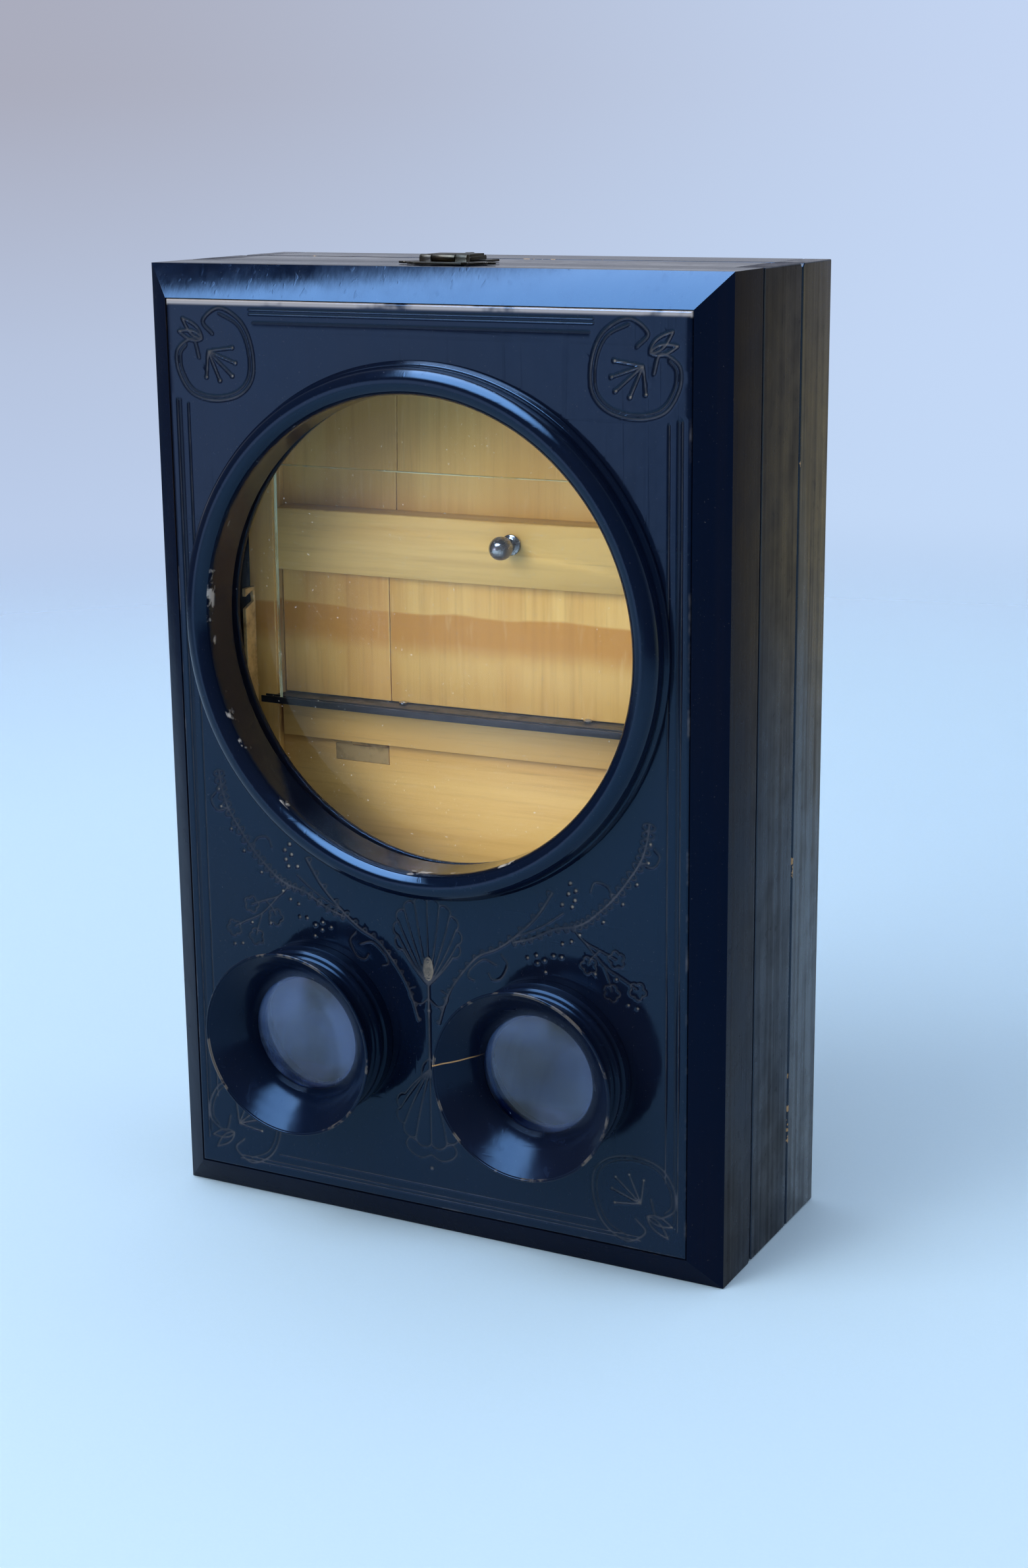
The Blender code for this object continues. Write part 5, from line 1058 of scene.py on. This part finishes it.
class GRAPHOSCOPE_OT_panel(bpy.types.Operator):
    """Cuts the ornament into the lens board's panel"""
    bl_idname = "graphoscope.panel"
    bl_label = "Engraved panel"

    def execute(self, context):
        size = sizes()
        bore = LENS_RADIUS + BORE_PLAY
        cup_bore = EYE_LENS_RADIUS + SEAT_GAP * 2 + CUP_WALL
        holes = ((0.0, RING_Z, bore), (-CUP_X, CUP_Z, cup_bore), (CUP_X, CUP_Z, cup_bore))
        points, faces, gilt, edge = panel_shells(size.panel_cell, size.panel_parts, size.groove_depth,
                                                 size.panel_easing, holes)
        inner, outer = LENS_RADIUS - SPIGOT_INSET + SEAT_GAP, bore - SEAT_PLAY
        section = ((inner, SEAT_FRONT), (outer, SEAT_FRONT), (outer, SEAT_BACK), (inner, SEAT_BACK))
        seat = turned(section, (0, FACE, RING_Z), size.ring_sides)
        none = np.zeros(len(seat[0]))
        put_piece("engraved_panel", [(points, faces), seat], "lens_board", ["face_lacquer"],
                  ("lens_panel",), attributes={"gilt": np.concatenate((gilt, none)),
                                               "edge": np.concatenate((edge, none))})
        return {"FINISHED"}


class GRAPHOSCOPE_OT_lens(bpy.types.Operator):
    """Turns the large ring, grinds the reading lens and makes the ring that holds it"""
    bl_idname = "graphoscope.lens"
    bl_label = "Reading lens and ring"

    def execute(self, context):
        sides = sizes().ring_sides
        centre = (0, FACE, RING_Z)
        section = ring_profile()
        lip = RING_RADIUS - RING_STEP_WIDTH - RING_BEAD * 2
        # Pale spots along the ring's lip: chips, partly a painted highlight of the lip.
        rub_and_highlight = rub_and_highlight_rings(section, sides, lip - 0.0001, lip + RING_BEAD * 0.12, -RING_STEP_REACH)
        put_piece("turned_ring", [turned(section, centre, sides)], "lens_board", ["turned_lacquer"],
                  ("lens_ring",), attributes={"edge": rub_and_highlight})
        front, back = LENS_LOW.y - FACE, LENS_HIGH.y - FACE
        profile = lens_profile(LENS_RADIUS, front, back, LENS_EDGE)
        put_piece("ground_lens", [turned(profile, centre, sides)], "lens_board", ["lens_glass"],
                  ("reading_lens",), sharp=30.0)
        low, high = RETAINER_LOW.y - FACE, RETAINER_HIGH.y - FACE
        inner = LENS_RADIUS - KEEPER_WIDTH
        section = eased_loop(((inner, low), (LENS_RADIUS, low), (LENS_RADIUS, high), (inner, high)),
                             KEEPER_EASING)
        put_piece("lens_keeper", [turned(section, centre, sides)], "lens_board", ["rail_lacquer"],
                  ("lens_retainer",))
        return {"FINISHED"}


class GRAPHOSCOPE_OT_eyepieces(bpy.types.Operator):
    """Turns the two flared eyecups and grinds their lenses"""
    bl_idname = "graphoscope.eyepieces"
    bl_label = "Eyepieces"

    def execute(self, context):
        sides = sizes().cup_sides
        for side, name in ((-1, "left"), (1, "right")):
            centre = (side * CUP_X, FACE, CUP_Z)
            section = cup_profile()
            # Pale line on the cup's rim: a painted highlight of the rim, with some rubbing.
            rub_and_highlight = rub_and_highlight_rings(section, sides, CUP_RADIUS - 0.0012, CUP_RADIUS * 2, 0.0006 - CUP_REACH)
            look = "cup_lacquer" if side < 0 else "split_cup_lacquer"
            put_piece("flared_cup_" + name, [turned(section, centre, sides)], "lens_board", [look],
                      ("eyecup_" + name,), attributes={"edge": rub_and_highlight})
            front, back = EYE_LENS_LOW.y - FACE, EYE_LENS_HIGH.y - FACE
            profile = lens_profile(EYE_LENS_RADIUS, front, back, EYE_LENS_EDGE)
            put_piece("eye_lens_" + name, [turned(profile, centre, sides)], "lens_board", ["eye_glass"],
                      ("eyepiece_lens_" + name,), sharp=30.0)
        return {"FINISHED"}


class GRAPHOSCOPE_OT_case(bpy.types.Operator):
    """Eases the edges of the moulding, the trays, the base board, the prop strut and its rack"""
    bl_idname = "graphoscope.case"
    bl_label = "Case"

    def execute(self, context):
        for node, face, edge, slot, width in CASE_PIECES:
            eased_copy(node, face, edge, width, CASE_EASING_STEPS)
        return {"FINISHED"}


class GRAPHOSCOPE_OT_easel(bpy.types.Operator):
    """Finishes the boards, the easel with its ledge and glass, and the ball knob"""
    bl_idname = "graphoscope.easel"
    bl_label = "Boards and easel"

    def execute(self, context):
        for node, face, edge, slot, width in EASEL_PIECES:
            eased_copy(node, face, edge, width, EASING_STEPS)
        centre = ((KNOB_LOW.x + KNOB_HIGH.x) / 2, 0, (KNOB_LOW.z + KNOB_HIGH.z) / 2)
        put_piece("ball_knob", [turned(knob_profile(), centre, KNOB_SIDES)], "easel", ["bright_steel"],
                  ("easel_knob",))
        return {"FINISHED"}


class GRAPHOSCOPE_OT_fittings(bpy.types.Operator):
    """Finishes the clasp, the stays, the hinges and the small screws"""
    bl_idname = "graphoscope.fittings"
    bl_label = "Metal fittings"

    def execute(self, context):
        for node, face, edge, slot, width in FITTINGS:
            eased_copy(node, face, edge, width, EASING_STEPS)
        for node, piece in frame["nodes"].items():
            names = [look for key, look in DRESSED.items() if key in node]
            if names and not piece.hide_render:
                for material_slot in piece.material_slots:
                    material_slot.material = finish(names[0])
        return {"FINISHED"}


LEFT_STOPS = ((0.0, (0.56, 0.79, 0.97)), (0.36, (0.54, 0.73, 0.94)), (0.41, (0.51, 0.64, 0.88)),
              (0.46, (0.47, 0.55, 0.73)), (0.51, (0.40, 0.41, 0.50)), (1.0, (0.40, 0.42, 0.52)))
RIGHT_STOPS = ((0.0, (0.56, 0.79, 0.97)), (0.36, (0.55, 0.75, 0.96)), (0.41, (0.54, 0.70, 0.94)),
               (0.46, (0.55, 0.69, 0.93)), (0.51, (0.55, 0.67, 0.90)), (1.0, (0.55, 0.67, 0.90)))
AMBIENT_STOPS = ((0.0, (0.50, 0.60, 0.72)), (0.5, (0.66, 0.70, 0.78)), (1.0, (0.95, 1.0, 1.10)))
# What gloss sees: dark in front, dim behind below the horizon and bright above it, and two soft patches.
GLOSS_FRONT, GLOSS_LOW_BACK, GLOSS_HIGH_BACK = (0.04, 0.06, 0.10), (0.85, 0.78, 0.52), (0.50, 0.53, 0.62)
SKY_WAY, SKY_REACH, SKY_COLOUR = (-0.30, -0.40, 0.87), (0.80, 0.94), (11.5, 15.5, 23.5)
SKY_LEFT_END = (-0.55, -0.43)
NEAR_WAY, NEAR_REACH, NEAR_COLOUR = (-0.53, -0.845, -0.06), (0.955, 0.998), (1.45, 1.50, 2.1)
# Where the sky's parts pass into each other, along x, z, y and x again.
BACK_SPAN, HORIZON_SPAN, DEPTH_SPAN, SIDE_SPAN = (-0.3, 0.2), (-0.05, 0.08), (-0.15, 0.45), (-0.66, -0.24)
# Name, place, aim, side in metres, power in watts, colour.
LAMPS = (
    ("north_light", (-1.1, -1.5, 2.1), (0, 0, 0.12), 1.6, 44.0, (0.97, 0.98, 1.0)),
    ("front_light", (-0.45, -1.7, 0.85), (0, 0, 0.2), 0.9, 14.5, (1.0, 0.94, 0.84)),
    ("side_light", (2.2, -0.6, 1.3), (0, 0, 0.15), 1.2, 5.0, (1.0, 0.98, 0.95)),
)
CAMERA_AT = (0.40843, -0.74827, 0.37985)
CAMERA_TURN, CAMERA_DIP, CAMERA_ROLL = -27.678, 14.525, -0.6027
CAMERA_LENS = 57.10
FLOOR_INNER, FLOOR_RADIUS, FLOOR_RINGS, FLOOR_SIDES = 0.05, 4.0, 24, 96
FLOOR_FADE, FLOOR_GAP = (0.5, 1.8), 0.0003


class GRAPHOSCOPE_OT_stage(bpy.types.Operator):
    """Sets the pale floor, the soft light and the camera"""
    bl_idname = "graphoscope.stage"
    bl_label = "Stage"

    def execute(self, context):
        scene = context.scene
        self.lay_floor()
        self.light(scene)
        self.aim(scene)
        scene.view_settings.view_transform = "Standard"
        return {"FINISHED"}

    def lay_floor(self):
        """A round sheet: (r cos t, r sin t) with rings that widen outwards."""
        rings = np.concatenate(([0.0], np.geomspace(FLOOR_INNER, FLOOR_RADIUS, FLOOR_RINGS)))
        turn = np.linspace(0, 2 * math.pi, FLOOR_SIDES, endpoint=False)
        points = np.stack((rings[:, None] * np.cos(turn), rings[:, None] * np.sin(turn),
                           np.full((len(rings), FLOOR_SIDES), -FLOOR_GAP)), -1)
        mesh = bpy.data.meshes.new("pale_floor")
        faces = ring_faces(len(rings), FLOOR_SIDES, False)
        mesh.from_pydata(points.reshape(-1, 3).tolist(), [], faces.tolist())
        mesh.validate()
        make = Maker("floor_sheet")
        cloud = make.noise(3.0, 2.0, 0.5)
        weave = make.noise(900.0, 3.0, 0.6)
        tone = colours().floor
        make.set(Base_Color=make.mix(make.ramp(cloud, 0.35, 0.70, 0.0, 0.25), tone, [0.96 * v for v in tone]))
        make.set(Roughness=make.ramp(weave, 0.3, 0.7, 0.75, 0.9))
        make.set(Normal=make.bump(weave, 0.00003))
        x, y, _ = make.axes()
        flat = make.add("ShaderNodeCombineXYZ", {"X": x, "Y": y}).outputs[0]
        radius = make.add("ShaderNodeVectorMath", {0: flat}, operation="LENGTH").outputs["Value"]
        make.clear_by(make.ramp(radius, *FLOOR_FADE))
        mesh.materials.append(make.material)
        floor = bpy.data.objects.new("pale_floor", mesh)
        bpy.context.scene.collection.objects.link(floor)

    def light(self, scene):
        """A soft sky all round and three wide soft lamps. Gloss sees a brighter patch high in front."""
        world = bpy.data.worlds.new("soft_sky")
        scene.world = world
        world.use_nodes = True
        make = Nodes(world.node_tree)
        way = make.add("ShaderNodeTexCoord").outputs["Generated"]
        x, y, z = make.add("ShaderNodeSeparateXYZ", {0: way}).outputs
        share = make.add("ShaderNodeMapRange", {"Value": z, "From Min": -1.0}).outputs[0]

        def gradient(given):
            ramp = make.add("ShaderNodeValToRGB", {0: share})
            stops = ramp.color_ramp.elements
            while len(stops) < len(given):
                stops.new(0.5)
            for stop, (at, colour) in zip(stops, given):
                stop.position = at
                stop.color = (*colour, 1.0)
            return ramp.outputs[0]

        def patch(centre, reach):
            near = make.add("ShaderNodeVectorMath", {0: way, 1: centre}, operation="DOT_PRODUCT")
            return make.ramp(near.outputs["Value"], *reach)

        low_back = make.mix(make.ramp(x, *BACK_SPAN), GLOSS_FRONT, GLOSS_LOW_BACK)
        behind = make.mix(make.ramp(z, *HORIZON_SPAN), low_back, GLOSS_HIGH_BACK)
        gloss = make.mix(make.ramp(y, *DEPTH_SPAN), GLOSS_FRONT, behind)
        gloss = make.mix(patch(NEAR_WAY, NEAR_REACH), gloss, NEAR_COLOUR)
        high = make.times(patch(SKY_WAY, SKY_REACH), make.ramp(x, *SKY_LEFT_END))
        gloss = make.mix(high, gloss, SKY_COLOUR)
        side = make.ramp(x, *SIDE_SPAN)
        backdrop = make.mix(side, gradient(LEFT_STOPS), gradient(RIGHT_STOPS))
        path = make.add("ShaderNodeLightPath").outputs
        seen = make.mix(path["Is Diffuse Ray"], backdrop, gradient(AMBIENT_STOPS))
        seen = make.mix(path["Is Glossy Ray"], seen, gloss)
        make.fill(make.nodes["Background"].inputs["Color"], seen)
        for lamp in LAMPS:
            self.lamp(*lamp)

    def lamp(self, name, at, towards, size, power, colour):
        """A square lamp that lights surfaces but doesn't show in their gloss."""
        data = bpy.data.lights.new(name, "AREA")
        data.shape = "SQUARE"
        data.size = size
        data.energy = power
        data.color = colour
        lamp = bpy.data.objects.new(name, data)
        bpy.context.scene.collection.objects.link(lamp)
        lamp.location = at
        lamp.rotation_mode = "QUATERNION"
        lamp.rotation_quaternion = (Vector(towards) - Vector(at)).to_track_quat("-Z", "Y")
        lamp.visible_glossy = False
        lamp.visible_transmission = False
        lamp.visible_camera = False

    def aim(self, scene):
        """Places the camera by its turn, dip and roll."""
        data = bpy.data.cameras.new("view_camera")
        data.lens = CAMERA_LENS
        data.sensor_width = 36.0
        data.clip_start = 0.01
        camera = bpy.data.objects.new("view_camera", data)
        scene.collection.objects.link(camera)
        turn, dip, roll = (math.radians(v) for v in (CAMERA_TURN, CAMERA_DIP, CAMERA_ROLL))
        ahead = Vector((math.sin(turn) * math.cos(dip), math.cos(turn) * math.cos(dip), -math.sin(dip)))
        right = ahead.cross(Vector((0, 0, 1))).normalized()
        up = right.cross(ahead)
        leaned = right * math.cos(roll) + up * math.sin(roll)
        up = up * math.cos(roll) - right * math.sin(roll)
        camera.matrix_world = Matrix.Translation(CAMERA_AT) @ Matrix((leaned, up, -ahead)).transposed().to_4x4()
        scene.camera = camera


OPERATORS = (
    GRAPHOSCOPE_OT_case,
    GRAPHOSCOPE_OT_panel,
    GRAPHOSCOPE_OT_lens,
    GRAPHOSCOPE_OT_eyepieces,
    GRAPHOSCOPE_OT_easel,
    GRAPHOSCOPE_OT_fittings,
    GRAPHOSCOPE_OT_stage,
)


class GRAPHOSCOPE_PT_sidebar(bpy.types.Panel):
    """Lists the pieces of the graphoscope"""
    bl_idname = "GRAPHOSCOPE_PT_sidebar"
    bl_label = "Graphoscope"
    bl_space_type = "VIEW_3D"
    bl_region_type = "UI"
    bl_category = "Graphoscope"

    def draw(self, context):
        column = self.layout.column()
        for operator in OPERATORS:
            column.operator(operator.bl_idname)
        for group in (sizes(), colours()):
            for key in group.__annotations__:
                column.prop(group, key)


CLASSES = (GraphoscopeSizes, GraphoscopeColours, *OPERATORS, GRAPHOSCOPE_PT_sidebar)


def register():
    """Registers the groups, the operators and the panel."""
    for item in CLASSES:
        bpy.utils.register_class(item)
    bpy.types.Scene.graphoscope_sizes = PointerProperty(type=GraphoscopeSizes)
    bpy.types.Scene.graphoscope_colours = PointerProperty(type=GraphoscopeColours)


def unregister():
    """Takes back what register has done."""
    del bpy.types.Scene.graphoscope_colours
    del bpy.types.Scene.graphoscope_sizes
    for item in reversed(CLASSES):
        bpy.utils.unregister_class(item)


def main():
    """Dresses the part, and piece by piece."""
    register()
    for operator in OPERATORS:
        group, name = operator.bl_idname.split(".")
        getattr(getattr(bpy.ops, group), name)()


if __name__ == "__main__":
    main()
